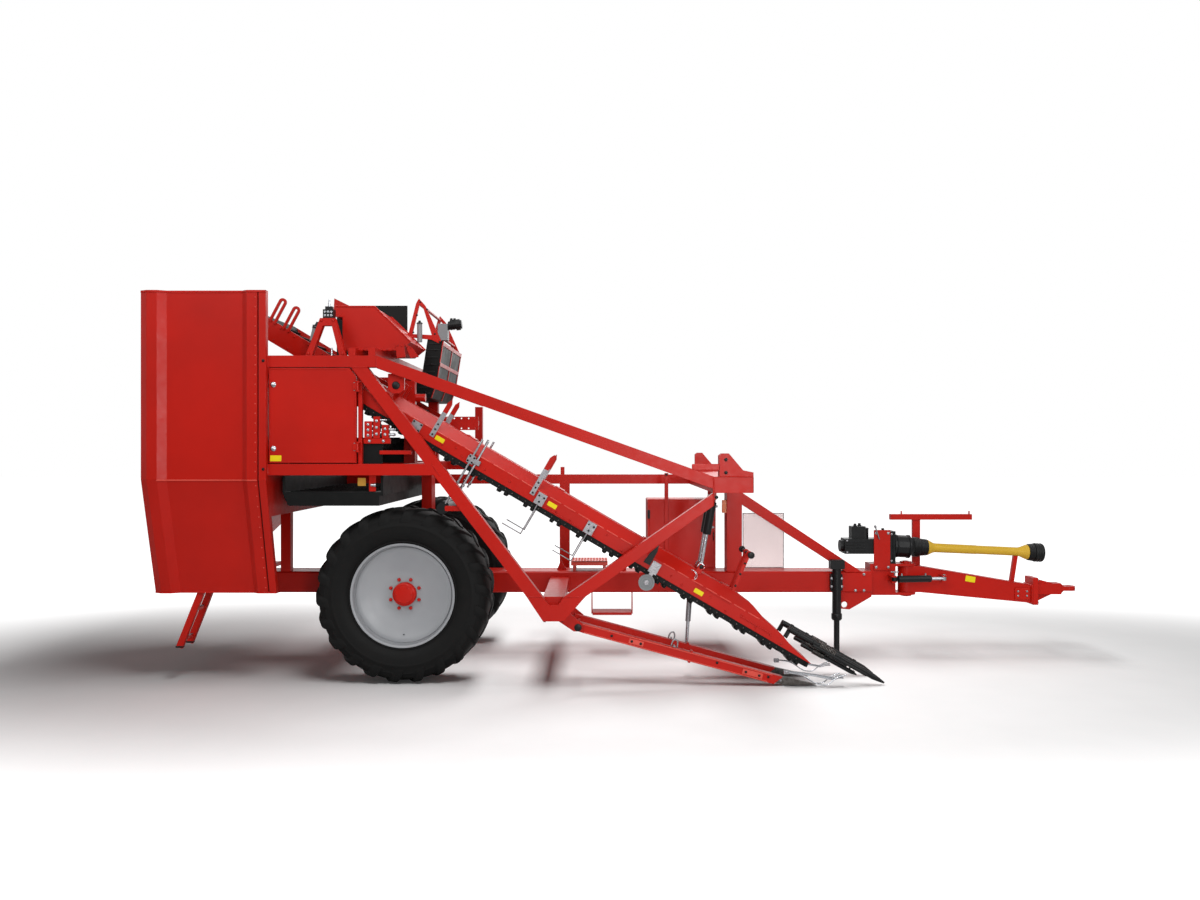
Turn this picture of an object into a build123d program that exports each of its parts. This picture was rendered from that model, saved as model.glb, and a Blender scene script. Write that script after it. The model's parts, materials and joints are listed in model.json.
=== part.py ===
"""One-row trailed root-crop lifter (potato and root harvester) with a rear bunker.

Millimetres. +X forward (towards the tractor), +Y to the machine's left, +Z up.
Shapes are drawn from the axle's centre line (X = 0 above the wheels' contact) and each
node is moved by X_SHIFT when it is written, so that the origin lies at the bottom centre
of the whole machine's box.
"""
import os
from math import atan2, cos, degrees, hypot, pi, radians, sin, tan

from build123d import *

os.makedirs("parts", exist_ok=True)

# ---------------------------------------------------------------- driving dimensions
REAR_X = -2182.0            # bunker's rear face
FRONT_X = 6530.0            # tip of the towing eye
HALF_WIDTH = 1300.0         # bunker walls' outer faces
X_SHIFT = -(REAR_X + FRONT_X) / 2

SEAT_GAP = 0.3              # between pieces that sit on each other and may turn or slide
RUN_GAP = 0.1               # radial clearance of a pin in its bore
PAST = 1.0                  # how far a cut runs past what it cuts

BAR_SIDES = 12              # flat sides of a bar that nothing turns on
WIRE_SIDES = 8
HOLE_SIDES = 8
WHEEL_SIDES = 44            # two for each lug of a tyre
HUB_SIDES = WHEEL_SIDES // 2

# wheels
TYRE_R = 770.0
TYRE_W = 480.0
TRACK_Y = 850.0             # wheel centre plane from the machine's middle
LUG_HEIGHT = 34.0
LUG_COUNT = 22
LUG_WIDTH = 48.0
LUG_RAKE = 38.0             # degrees each lug leans from straight across
SIDEWALL_R = 610.0
BEAD_R = 447.0
BEAD_W = 390.0
FLANGE_R = 456.0
FLANGE_T = 14.0
RIM_T = 12.0
DISC_R = 378.0
DISC_T = 14.0
DISC_DEPTH = 112.0          # hub face inboard of the flange
HUB_R = 104.0
HUB_FLANGE_R = 165.0
HUB_CAP_OUT = 62.0
HUB_LEN = 260.0
STUD_CIRCLE_R = 135.0
STUD_R = 14.0
STUD_LEN = 24.0
STUD_COUNT = 8
AXLE_SQ = 110.0
STUB_R = 45.0

# frame
TUBE_H = 100.0
TUBE_W = 80.0
TRUSS_Y = 1250.0            # outer face of the side trusses
BEAM_Y0 = 100.0
BEAM_W = 320.0
BEAM_BOTTOM = 624.0
BEAM_H = 209.0
BEAM_REAR = -2030.0
BEAM_FRONT = 4435.0
BEAM_EDGE = 14.0
CHORD_TOP = 2849.0
CHORD_BEND_X = -180.0
CHORD_SLOPE = 19.75
CHORD_END_X = 2694.0
RAIL_TOP = 1924.0
RAIL_H = 97.0
LEFT_RAIL_TOP = 1780.0
LEFT_RAIL_Y = 850.0

# bunker
BUNKER_FRONT = -1106.0
BUNKER_TOP = 3399.0
BUNKER_BEND_Z = 1789.0
BUNKER_BOTTOM = 787.0
BUNKER_TUCK = 270.0         # how far the lower walls lean in
WALL_T = 55.0
WALL_PRESS = 35.0
LEFT_WALL_TOP = 3000.0
FRONT_WALL_TOP = 2700.0

# lifting channel: everything on it is drawn level, as run along the ridge and rise above it
UNIT_SLOPE = 30.2
UNIT_X = 161.0              # where the ridge starts
UNIT_Z = 2292.0
UNIT_Y = (-1120.0, -720.0)  # its side faces
UNIT_MID = sum(UNIT_Y) / 2
UNIT_BACK = -590.0
UNIT_TIP = 3985.0
SIDE_H = 113.0
CREST_H = 93.0
PIVOT_X = -31.0             # shaft that the channel swings on
PIVOT_Z = 2599.0
PIVOT_R = 25.0


# ---------------------------------------------------------------- helpers
def save(name, *shapes):
    """Write one node: its solids, moved to the machine's own origin."""
    solids = []
    for shape in shapes:
        solids.extend(shape.solids())
    moved = [Pos(X_SHIFT, 0, 0) * solid for solid in solids]
    export_step(Compound(children=moved) if len(moved) > 1 else moved[0], f"parts/{name}.step")


def block(x0, x1, y0, y1, z0, z1):
    """Box between two corners."""
    return Pos((x0 + x1) / 2, (y0 + y1) / 2, (z0 + z1) / 2) * Box(x1 - x0, y1 - y0, z1 - z0)


def side_prism(points, y0, y1):
    """Outline in X and Z, as thick as y0 to y1."""
    face = Plane.XZ * make_face(Polyline(*points, close=True))
    return Pos(0, y1, 0) * extrude(face, y1 - y0)


def flat_prism(points, z0, z1):
    """Outline in X and Y, from z0 up to z1."""
    face = make_face(Polyline(*points, close=True))
    return Pos(0, 0, z0) * extrude(face, z1 - z0)


def cross_prism(points, x0, x1):
    """Outline in Y and Z, from x0 to x1."""
    face = Plane.YZ * make_face(Polyline(*points, close=True))
    return Pos(x0, 0, 0) * extrude(face, x1 - x0)


def slant(a, b, height, y0, y1):
    """Straight tube with square ends, in a side plane from a to b (X, Z)."""
    run = hypot(b[0] - a[0], b[1] - a[1])
    lean = degrees(atan2(b[1] - a[1], b[0] - a[0]))
    middle = Pos((a[0] + b[0]) / 2, (y0 + y1) / 2, (a[1] + b[1]) / 2)
    return middle * Rot(0, -lean, 0) * Box(run, y1 - y0, height)


def rod(a, b, radius):
    """Round bar between two points in space, for pins, bores and rods that slide."""
    along = Vector(*b) - Vector(*a)
    return Plane(origin=a, z_dir=along) * Cylinder(radius, along.length,
                                                   align=(Align.CENTER, Align.CENTER, Align.MIN))


def drum(x, z, radius, y0, y1):
    """Round bar across the machine."""
    return rod((x, y0, z), (x, y1, z), radius)


def bar(a, b, radius, sides=BAR_SIDES):
    """Bar with flat sides between two points in space, its corners on the radius."""
    along = Vector(*b) - Vector(*a)
    return Plane(origin=a, z_dir=along) * extrude(RegularPolygon(radius, sides), along.length)


def cross_bar(x, z, radius, y0, y1, sides=BAR_SIDES):
    """Bar with flat sides across the machine."""
    return bar((x, y0, z), (x, y1, z), radius, sides)


def ring(points, sides=WHEEL_SIDES):
    """Flat-sided ring about the Y axis from a closed profile of (radius, across) points,
    with a corner straight below the axis."""
    turns = [2 * pi * index / sides - pi / 2 for index in range(sides)]
    rows = [[(radius * cos(turn), across, radius * sin(turn)) for turn in turns] for radius, across in points]
    faces = []
    for near, far in zip(rows, rows[1:] + rows[:1]):
        for index in range(sides):
            after = (index + 1) % sides
            faces.append(Face(Wire.make_polygon([near[index], far[index], far[after], near[after]])))
    return Solid(Shell(faces))


def between(a, b, z):
    """X of the line from a to b (X, Z) at height z."""
    return a[0] + (b[0] - a[0]) * (z - a[1]) / (b[1] - a[1])


def part_way(a, b, share):
    """Point this share of the way from a to b (X, Z)."""
    return (a[0] + (b[0] - a[0]) * share, a[1] + (b[1] - a[1]) * share)


# ---------------------------------------------------------------- wheels
HALF_TYRE = TYRE_W / 2
TREAD_R = TYRE_R - LUG_HEIGHT
SHOULDER_R = TREAD_R - 30.0
SHOULDER_IN = 12.0          # shoulder's corner, in from the tyre's side
TREAD_IN = 70.0
BELLY_R = BEAD_R + 70.0     # where the sidewall starts to bulge
BELLY_IN = 6.0
BEAD_CLEAR = 4.0
LUG_ROOT_R = SHOULDER_R - 8.0
LUG_TOP_IN = 44.0
LUG_MID = HALF_TYRE / 2 + 10.0
LUG_SPARE = 60.0            # a lug's blank is this much taller than the lug
RIM_EDGE = BEAD_W / 2 + FLANGE_T
DISC_FACE = HALF_TYRE - 36.0 - DISC_DEPTH    # disc's outer face from the wheel's centre plane
DISC_RISE = 58.0
DISC_SEAT = 10.0
DISC_BEND = 4.0
HUB_FLANGE_T = 16.0
HUB_NECK = 14.0
CAP_EDGE = 22.0
CAP_T = 30.0


def mirrored(points):
    """Profile closed by its own mirror image on the other side of the centre plane."""
    return points + [(radius, -across) for radius, across in reversed(points)]


def tyre():
    """Casing with a chevron of lugs fused to it, the last lug under the axle."""
    casing = ring(mirrored([
        (BEAD_R, -BEAD_W / 2), (FLANGE_R + BEAD_CLEAR, -BEAD_W / 2), (BELLY_R, BELLY_IN - HALF_TYRE),
        (SIDEWALL_R, -HALF_TYRE), (SHOULDER_R, SHOULDER_IN - HALF_TYRE), (TREAD_R, TREAD_IN - HALF_TYRE)]))
    band = ring(mirrored([(LUG_ROOT_R, -HALF_TYRE), (TYRE_R, LUG_TOP_IN - HALF_TYRE)]))
    reach = HALF_TYRE / cos(radians(LUG_RAKE))
    height = TYRE_R - LUG_ROOT_R + LUG_SPARE
    lugs = []
    for index in range(LUG_COUNT):
        for side in (-1, 1):
            blank = Pos(0, side * LUG_MID, 0) * Rot(0, 0, -side * LUG_RAKE) * Box(LUG_WIDTH, reach, height)
            blank = Pos(0, 0, -(TYRE_R + LUG_ROOT_R) / 2) * blank
            turn = 360.0 / LUG_COUNT * (index + (side + 1) / 4)
            lugs.append(band & (Rot(0, turn, 0) * blank))
    return casing.fuse(*lugs)


def rim():
    """Barrel with two flanges and a dished disc."""
    seat = BEAD_R - SEAT_GAP
    edge = BEAD_W / 2 + SEAT_GAP
    barrel = ring([
        (seat, -edge), (FLANGE_R, -edge), (FLANGE_R, -RIM_EDGE), (seat - RIM_T, -RIM_EDGE),
        (seat - RIM_T, RIM_EDGE), (FLANGE_R, RIM_EDGE), (FLANGE_R, edge), (seat, edge)])
    lip = DISC_FACE + DISC_RISE
    disc = ring([
        (HUB_R + SEAT_GAP, DISC_FACE - DISC_T), (HUB_R + SEAT_GAP, DISC_FACE),
        (HUB_FLANGE_R + DISC_SEAT, DISC_FACE), (DISC_R, lip), (seat - RIM_T / 2, lip),
        (seat - RIM_T / 2, lip - DISC_T), (DISC_R + DISC_BEND, lip - DISC_T),
        (HUB_FLANGE_R + DISC_SEAT + DISC_BEND, DISC_FACE - DISC_T)])
    return barrel + disc


def hub():
    """Cap, drum and flange around the stub axle, with its studs."""
    seat = DISC_FACE - DISC_T
    cap = DISC_FACE + HUB_CAP_OUT
    back = cap - HUB_LEN
    bore = STUB_R + RUN_GAP
    drum_r = HUB_R - HUB_NECK
    body = ring([
        (bore / 2, cap), (HUB_R - CAP_EDGE, cap), (HUB_R, cap - CAP_EDGE), (HUB_R, seat), (HUB_FLANGE_R, seat),
        (HUB_FLANGE_R, seat - HUB_FLANGE_T), (drum_r, seat - HUB_FLANGE_T), (drum_r, back), (bore / 2, back)],
        HUB_SIDES)
    body += cross_bar(0, 0, bore, cap - CAP_T, cap, HUB_SIDES)
    body -= drum(0, 0, bore, back - PAST, cap - CAP_T)
    studs = []
    for index in range(STUD_COUNT):
        turn = Rot(0, 360.0 / STUD_COUNT * (index + 0.5), 0)
        studs.append(turn * cross_bar(STUD_CIRCLE_R, 0, STUD_R, DISC_FACE, DISC_FACE + STUD_LEN, 6))
    return [body] + studs


for side, name in ((-1, "right"), (1, "left")):
    place = Pos(0, side * TRACK_Y, TYRE_R) * Rot(0, 0, 90 - side * 90)
    save(f"tyre_{name}", place * tyre())
    save(f"rim_{name}", place * rim())
    save(f"hub_{name}", *[place * piece for piece in hub()])

BEAM_Y1 = BEAM_Y0 + BEAM_W
BEAM_TOP = BEAM_BOTTOM + BEAM_H
AXLE_IN = TRACK_Y - HALF_TYRE - 20.0
STUB_END = TRACK_Y + DISC_FACE + HUB_CAP_OUT - 40.0
AXLE_Z = (TYRE_R - AXLE_SQ / 2, TYRE_R + AXLE_SQ / 2)
save("axle",
     block(-AXLE_SQ / 2, AXLE_SQ / 2, -AXLE_IN, BEAM_Y0, *AXLE_Z) + drum(0, TYRE_R, STUB_R, -STUB_END, -AXLE_IN),
     block(-AXLE_SQ / 2, AXLE_SQ / 2, BEAM_Y1, AXLE_IN, *AXLE_Z) + drum(0, TYRE_R, STUB_R, AXLE_IN, STUB_END))

# ---------------------------------------------------------------- main beam
SWIVEL_X = 4820.0
SWIVEL_Y = BEAM_Y0 + BEAM_W / 2
SWIVEL_R = 30.0
CLEVIS_Z = ((588.0, 614.0), (876.0, 902.0))       # lower and upper clevis plates
CLEVIS_W = 190.0
HEAD_FRONT = 4690.0
HEAD_Y = (SWIVEL_Y - CLEVIS_W / 2, SWIVEL_Y + CLEVIS_W / 2)
PIN_OUT = 22.0              # the swivel pin stands this far past its clevis
WASHER_R = 57.0
WASHER_T = 16.0
TOW_PLATE = ((4110.0, BEAM_BOTTOM), (4130.0, 460.0), (4215.0, 452.0), (BEAM_FRONT, 580.0),
             (BEAM_FRONT, BEAM_BOTTOM))
TOW_PLATE_Y = (BEAM_Y0 + 20.0, BEAM_Y0 + 40.0)
TOW_HOLE = (4165.0, 500.0, 30.0)                  # X, Z and radius
STEP_X = (1640.0, 2040.0)
STEP_Y = (BEAM_Y0 - 60.0, BEAM_Y0 + 160.0)
STEP_Z = (410.0, 435.0)
STEP_SIDE = 12.0
GUARD_PLATE = (4470.0, 4632.0, HEAD_Y[0] - 16.0, HEAD_Y[0], 840.0, 1240.0)    # beside the gearbox


def main_beam():
    """Box beam with the front clevis, its pin, the towing plate and the gearbox guard."""
    beam = block(BEAM_REAR, BEAM_FRONT, BEAM_Y0, BEAM_Y1, BEAM_BOTTOM, BEAM_TOP)
    beam = chamfer(beam.edges().filter_by(Axis.X), BEAM_EDGE)
    beam += block(BEAM_FRONT, HEAD_FRONT, *HEAD_Y, CLEVIS_Z[0][0], CLEVIS_Z[1][1])
    for low, high in CLEVIS_Z:
        beam += block(HEAD_FRONT, SWIVEL_X, *HEAD_Y, low, high)
        beam += bar((SWIVEL_X, SWIVEL_Y, low), (SWIVEL_X, SWIVEL_Y, high), CLEVIS_W / 2, 2 * BAR_SIDES)
    beam += rod((SWIVEL_X, SWIVEL_Y, CLEVIS_Z[0][0] - PIN_OUT), (SWIVEL_X, SWIVEL_Y, CLEVIS_Z[1][1] + PIN_OUT),
                SWIVEL_R)
    for low in (CLEVIS_Z[0][0] - WASHER_T, CLEVIS_Z[1][1]):
        beam += bar((SWIVEL_X, SWIVEL_Y, low), (SWIVEL_X, SWIVEL_Y, low + WASHER_T), WASHER_R)
    plate = side_prism(TOW_PLATE, *TOW_PLATE_Y)
    plate -= drum(*TOW_HOLE, TOW_PLATE_Y[0] - PAST, TOW_PLATE_Y[1] + PAST)
    return beam + plate + block(*GUARD_PLATE)


def step():
    """Hanging step under the beam."""
    hangers = [block(x, x + STEP_SIDE, STEP_Y[0] + 80, STEP_Y[1] - 100, STEP_Z[0], BEAM_BOTTOM) for x in STEP_X]
    return hangers[0] + hangers[1] + block(STEP_X[0] + STEP_SIDE, STEP_X[1], *STEP_Y, *STEP_Z)


# steering cylinder's ends: rear pin on the beam, front pin on the drawbar (X, Y), and its height
STEER_REAR = (4640.0, 40.0)
STEER_EYE = (5150.0, 95.0)
STEER_Z = 765.0
STEER_REAR_PIN_R = 12.0
STEER_EYE_PIN_R = 8.0
EAR_HALF = 24.0
EAR_T = 12.0
STEER_EYE_H = (20.0, 18.0)  # half heights of the barrel's eye and of the rod's eye


def pin_plates(x, y0, y1, gap, pin, radius):
    """Two level plates with an upright pin between them, for a cylinder's eye."""
    low = block(x - EAR_HALF, x + EAR_HALF, y0, y1, STEER_Z - gap - EAR_T, STEER_Z - gap)
    high = block(x - EAR_HALF, x + EAR_HALF, y0, y1, STEER_Z + gap, STEER_Z + gap + EAR_T)
    return low + high + rod((*pin, STEER_Z - gap - EAR_T), (*pin, STEER_Z + gap + EAR_T), radius)


REAR_EARS = pin_plates(STEER_REAR[0] - 8.0, STEER_REAR[1] - 22.0, HEAD_Y[0], STEER_EYE_H[0] + SEAT_GAP,
                       STEER_REAR, STEER_REAR_PIN_R)
save("main_beam", main_beam() + REAR_EARS, step())

# ---------------------------------------------------------------- side trusses
TRUSS_IN = TRUSS_Y - TUBE_W
RIGHT = (-TRUSS_Y, -TRUSS_IN)
LEFT = (TRUSS_IN, TRUSS_Y)
RAIL_BOTTOM = RAIL_TOP - RAIL_H
CHORD_DROP = TUBE_H / cos(radians(CHORD_SLOPE))
PORTAL_X = (CHORD_END_X, CHORD_END_X + 341.0)
PORTAL_Z = (1676.0, 1815.0)

# rear diagonal: chord to foot; front diagonal: foot to head block (corners in X and Z)
REAR_DIAG = ((-397.0, CHORD_TOP - TUBE_H), (-260.0, CHORD_TOP - TUBE_H), (1235.0, 790.0), (1100.0, 790.0))
FRONT_DIAG = ((1420.0, 790.0), (1600.0, 790.0), (CHORD_END_X, 1566.0), (CHORD_END_X, PORTAL_Z[0]))
FOOT = ((1100.0, 790.0), (1235.0, 790.0), (1290.0, 720.0), (1370.0, 720.0), (1420.0, 790.0),
        (1600.0, 790.0), (1415.0, 581.0), (1240.0, 581.0))


def chord(y, end_x):
    """Level tube over the door and the falling tube in front of it."""
    end_top = CHORD_TOP - (end_x - CHORD_BEND_X) * tan(radians(CHORD_SLOPE))
    level = block(BUNKER_FRONT, CHORD_BEND_X, *y, CHORD_TOP - TUBE_H, CHORD_TOP)
    falling = side_prism([(CHORD_BEND_X, CHORD_TOP - CHORD_DROP), (CHORD_BEND_X, CHORD_TOP),
                          (end_x, end_top), (end_x, end_top - CHORD_DROP)], *y)
    return level, falling


# valve stand on the chord: an A of flat bar (X, Z)
STAND_A = ((-790.0, CHORD_TOP), (-735.0, CHORD_TOP), (-640.0, 3106.0), (-565.0, 3106.0),
           (-500.0, CHORD_TOP), (-445.0, CHORD_TOP), (-540.0, 3170.0), (-665.0, 3170.0))
STAND_A_Y = (-1240.0, -1180.0)
save("right_chord", *chord(RIGHT, CHORD_END_X), side_prism(STAND_A, *STAND_A_Y))
save("right_diagonals", *[side_prism(outline, *RIGHT) for outline in (REAR_DIAG, FOOT, FRONT_DIAG)])

# rail under the door, with the post that carries the door's hinges
HINGE_X = -340.0
HINGE_Y = -TRUSS_Y - 8.0
HINGE_PIN_R = 6.0
KNUCKLE_R = 11.0
KNUCKLE_H = 60.0
KNUCKLE_Z = (2039.0, 2555.0)
EYE_H = 15.0                # eye above and below each knuckle
POST_X = (-345.0, -312.0)
POST_Y = (-TRUSS_Y + 35.0, -TRUSS_IN - 1.0)
POST_TOP = 2632.0
EYE_BOX = (-349.0, -322.0, HINGE_Y - 9.0, POST_Y[0] + 1.0)
door_post = block(*POST_X, *POST_Y, RAIL_TOP, POST_TOP)
for z in KNUCKLE_Z:
    door_post += rod((HINGE_X, HINGE_Y, z - EYE_H), (HINGE_X, HINGE_Y, z + KNUCKLE_H + EYE_H), HINGE_PIN_R)
    for low in (z - EYE_H - SEAT_GAP, z + KNUCKLE_H + SEAT_GAP):
        door_post += block(*EYE_BOX, low, low + EYE_H)
right_rail = side_prism([(BUNKER_FRONT, RAIL_BOTTOM), (BUNKER_FRONT, RAIL_TOP),
                         (between(REAR_DIAG[0], REAR_DIAG[3], RAIL_TOP), RAIL_TOP),
                         (between(REAR_DIAG[0], REAR_DIAG[3], RAIL_BOTTOM), RAIL_BOTTOM)], *RIGHT)
save("right_rail", right_rail, door_post)

# ---------------------------------------------------------------- left frame
LEFT_RAIL = (LEFT_RAIL_Y, LEFT_RAIL_Y + TUBE_W)
LEFT_LOW = (633.0, 733.0)   # heights of the low rail
LEFT_LOW_X = 1000.0
LEFT_POST_X = (1292.0, 1399.0)
LEFT_STUB_X = (1302.0, 1342.0)
LEFT_STUB_H = 80.0
LOW_BAR_X = (LEFT_POST_X[0], 2260.0, 2740.0, PORTAL_X[1] - TUBE_H)
save("left_rails",
     block(LEFT_LOW_X, PORTAL_X[1], *LEFT_RAIL, *LEFT_LOW),
     *[block(x, x + TUBE_H, BEAM_Y1, LEFT_RAIL[0], *LEFT_LOW) for x in LOW_BAR_X],
     block(BUNKER_FRONT, PORTAL_X[0], *LEFT_RAIL, LEFT_RAIL_TOP - TUBE_H, LEFT_RAIL_TOP),
     block(*LEFT_POST_X, *LEFT_RAIL, LEFT_LOW[1], LEFT_RAIL_TOP - TUBE_H),
     block(*LEFT_STUB_X, *LEFT_RAIL, LEFT_RAIL_TOP, LEFT_RAIL_TOP + LEFT_STUB_H))

FLOOR_LEVEL = (1470.0, 1500.0)
TIE_X = (BUNKER_FRONT, BUNKER_FRONT + TUBE_W)
REAR_POST_X = (-1453.0, -1355.0)
LEFT_END_X = 420.0
LEFT_END_TOP = 2520.0
save("left_upper_frame",
     block(*TIE_X, -TRUSS_IN, TRUSS_IN, RAIL_BOTTOM, RAIL_TOP),
     block(*TIE_X, -TRUSS_IN, TRUSS_IN, CHORD_TOP - TUBE_H, CHORD_TOP),
     block(*REAR_POST_X, BEAM_Y0, BEAM_Y0 + TUBE_W, BEAM_TOP, FLOOR_LEVEL[0]),
     *chord(LEFT, LEFT_END_X),
     block(BUNKER_FRONT, LEFT_END_X, *LEFT, RAIL_BOTTOM, RAIL_TOP),
     block(LEFT_END_X - TUBE_W, LEFT_END_X, *LEFT, RAIL_TOP, LEFT_END_TOP))

# ---------------------------------------------------------------- pivot frame
CROSS_X = (-60.0, 40.0)
STAND_Y = (-700.0, -620.0)
STAND_TOP = 2674.0
STUB_Y = -660.0
STUB_Z = 2520.0
STUB_TUBE_R = 36.0
STUB_BACK = -212.0
STUB_FRONT = CROSS_X[1] + 90.0
HANGER = ((-100.0, 2700.0), (-100.0, 2560.0), (CROSS_X[0], 2530.0), (0.0, 2530.0), (CROSS_X[1], 2560.0),
          (CROSS_X[1], 2700.0))
HANGER_Y = (-TRUSS_IN, -TRUSS_IN + 30.0)
HANGER_CUT = (HANGER_Y[0] - PAST, HANGER_Y[1] + PAST)
DRILLED_X = (-140.0, 608.0)
DRILLED_PLATE = (STAND_Y[1], STAND_Y[1] + 14.0, 2226.0, 2350.0)
DRILLED_BACK = (STAND_Y[1] + 14.0, STAND_Y[1] + 44.0, 2268.0, 2308.0)
DRILLED_CUT = (STAND_Y[1] - PAST, STAND_Y[1] + 14.0 + PAST)
HOLE_ROWS_Z = (2242.0, 2334.0)
HOLE_FIRST = 188.0
HOLE_PITCH = 66.0
HOLE_COUNT = 7
HOLE_R = 8.0
LEG_Y = (BEAM_Y0 + TUBE_W * 0.75, BEAM_Y1 - TUBE_W * 0.75)
pivot_bore = (PIVOT_X, PIVOT_Z, PIVOT_R + RUN_GAP)
stand = block(*CROSS_X, *STAND_Y, RAIL_TOP, STAND_TOP) - drum(*pivot_bore, STAND_Y[0] - PAST, STAND_Y[1] + PAST)
stand += bar((STUB_BACK, STUB_Y, STUB_Z), (CROSS_X[0], STUB_Y, STUB_Z), STUB_TUBE_R)
stand += bar((CROSS_X[1], STUB_Y, STUB_Z), (STUB_FRONT, STUB_Y, STUB_Z), STUB_TUBE_R)
drilled = block(*DRILLED_X, *DRILLED_PLATE) + block(*DRILLED_X, *DRILLED_BACK)
for index in range(HOLE_COUNT):
    for z in HOLE_ROWS_Z:
        drilled -= cross_bar(HOLE_FIRST + index * HOLE_PITCH, z, HOLE_R, *DRILLED_CUT, HOLE_SIDES)
save("pivot_frame",
     block(*CROSS_X, -TRUSS_IN, TRUSS_IN, RAIL_BOTTOM, RAIL_TOP), stand,
     side_prism(HANGER, *HANGER_Y) - drum(*pivot_bore, *HANGER_CUT), drilled,
     block(*CROSS_X, *LEG_Y, BEAM_TOP, RAIL_BOTTOM))

# ---------------------------------------------------------------- bunker
SKIN_PROFILE = ((0.0, WALL_PRESS), (65.0, 0.0), (151.0, 0.0), (221.0, WALL_PRESS),
                (866.0, WALL_PRESS), (914.0, 0.0), (1001.0, 0.0), (1005.0, 12.0), (1011.0, 12.0),
                (1015.0, 0.0), (1076.0, 0.0))    # along the wall from the rear, depth of pressing


def side_wall(side, top):
    """Upright pressed wall above the bend and the same section leaning in below it."""
    outline = [(REAR_X + run, side * (HALF_WIDTH - depth)) for run, depth in SKIN_PROFILE]
    outline += [(BUNKER_FRONT, side * (HALF_WIDTH - WALL_T)), (REAR_X, side * (HALF_WIDTH - WALL_T))]
    low = make_face(Polyline(*[(x, y - side * BUNKER_TUCK, BUNKER_BOTTOM) for x, y in outline], close=True))
    high = make_face(Polyline(*[(x, y, BUNKER_BEND_Z) for x, y in outline], close=True))
    return flat_prism(outline, BUNKER_BEND_Z, top), loft([low, high], ruled=True)


IN_Y = HALF_WIDTH - WALL_T
FLOOR_FOOT = (REAR_X + 30.0, 850.0)
FLOOR_BREAK = -1560.0
FLOOR_T = 42.0              # floor's thickness, measured upright at its rear foot
END_T = 30.0
FLOOR_UNDER = ((REAR_X - PAST, BUNKER_BOTTOM - PAST), (REAR_X - PAST, FLOOR_FOOT[1]), FLOOR_FOOT,
               (FLOOR_BREAK, FLOOR_LEVEL[0]), (BUNKER_FRONT + PAST, FLOOR_LEVEL[0]),
               (BUNKER_FRONT + PAST, BUNKER_BOTTOM - PAST))
FLOOR_LINE = (FLOOR_FOOT, (FLOOR_BREAK, FLOOR_LEVEL[0]), (BUNKER_FRONT - END_T, FLOOR_LEVEL[0]),
              (BUNKER_FRONT - END_T, FLOOR_LEVEL[1]), (FLOOR_BREAK - 12.0, FLOOR_LEVEL[1]),
              (FLOOR_FOOT[0], FLOOR_FOOT[1] + FLOOR_T))
SILL_X = (-1850.0, -1750.0)
SILL_Z = (BUNKER_BOTTOM + 3.0, BEAM_TOP)
save("bunker_right_wall", *side_wall(-1, BUNKER_TOP))
left_upper, left_lower = side_wall(1, LEFT_WALL_TOP)
save("bunker_left_wall", left_upper, left_lower - side_prism(FLOOR_UNDER, 0, HALF_WIDTH + PAST))


def core(x0, x1, low, top_right, top_left):
    """Solid that fills the bunker between its side walls, narrowing below the bend."""
    tuck = BUNKER_TUCK * (BUNKER_BEND_Z - low) / (BUNKER_BEND_Z - BUNKER_BOTTOM)
    return cross_prism([(tuck - IN_Y, low), (-IN_Y, BUNKER_BEND_Z), (-IN_Y, top_right),
                        (IN_Y, top_left), (IN_Y, BUNKER_BEND_Z), (IN_Y - tuck, low)], x0, x1)


inside = core(REAR_X + END_T, BUNKER_FRONT - END_T, FLOOR_FOOT[1], FRONT_WALL_TOP, FRONT_WALL_TOP)
sill = block(*SILL_X, -IN_Y, IN_Y, *SILL_Z) & core(*SILL_X, SILL_Z[0], BUNKER_TOP, BUNKER_TOP)
sill -= block(*SILL_X, BEAM_Y0, BEAM_Y1, BUNKER_BOTTOM, BEAM_TOP + PAST)
save("bunker_ends",
     core(REAR_X, REAR_X + END_T, FLOOR_FOOT[1], BUNKER_TOP, LEFT_WALL_TOP),
     core(BUNKER_FRONT - END_T, BUNKER_FRONT, FLOOR_LEVEL[0], FRONT_WALL_TOP, FRONT_WALL_TOP),
     side_prism(FLOOR_LINE, -HALF_WIDTH, HALF_WIDTH) & inside, sill)

# ladder hung from the bunker's sill
LADDER_TOP = (-1790.0, BUNKER_BOTTOM + 20.0)
LADDER_FOOT = (-1990.0, 300.0)
LADDER_OUT = HALF_WIDTH - BUNKER_TUCK - 80.0
LADDER_W = 210.0
LADDER_Y = (-LADDER_OUT, LADDER_W - LADDER_OUT)
STILE = (40.0, 55.0)        # width across and depth
RUNG = (30.0, 24.0)         # depth and height
RUNG_SHARES = (0.35, 0.86)
ladder = slant(LADDER_TOP, LADDER_FOOT, STILE[1], LADDER_Y[0] - STILE[0] / 2, LADDER_Y[0] + STILE[0] / 2)
ladder += slant(LADDER_TOP, LADDER_FOOT, STILE[1], LADDER_Y[1] - STILE[0] / 2, LADDER_Y[1] + STILE[0] / 2)
for share in RUNG_SHARES:
    x, z = part_way(LADDER_TOP, LADDER_FOOT, share)
    ladder += block(x - RUNG[0] / 2, x + RUNG[0] / 2, *LADDER_Y, z - RUNG[1] / 2, z + RUNG[1] / 2)
save("ladder", ladder - block(REAR_X, 0, -HALF_WIDTH, 0, SILL_Z[0], BUNKER_BEND_Z))

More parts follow.
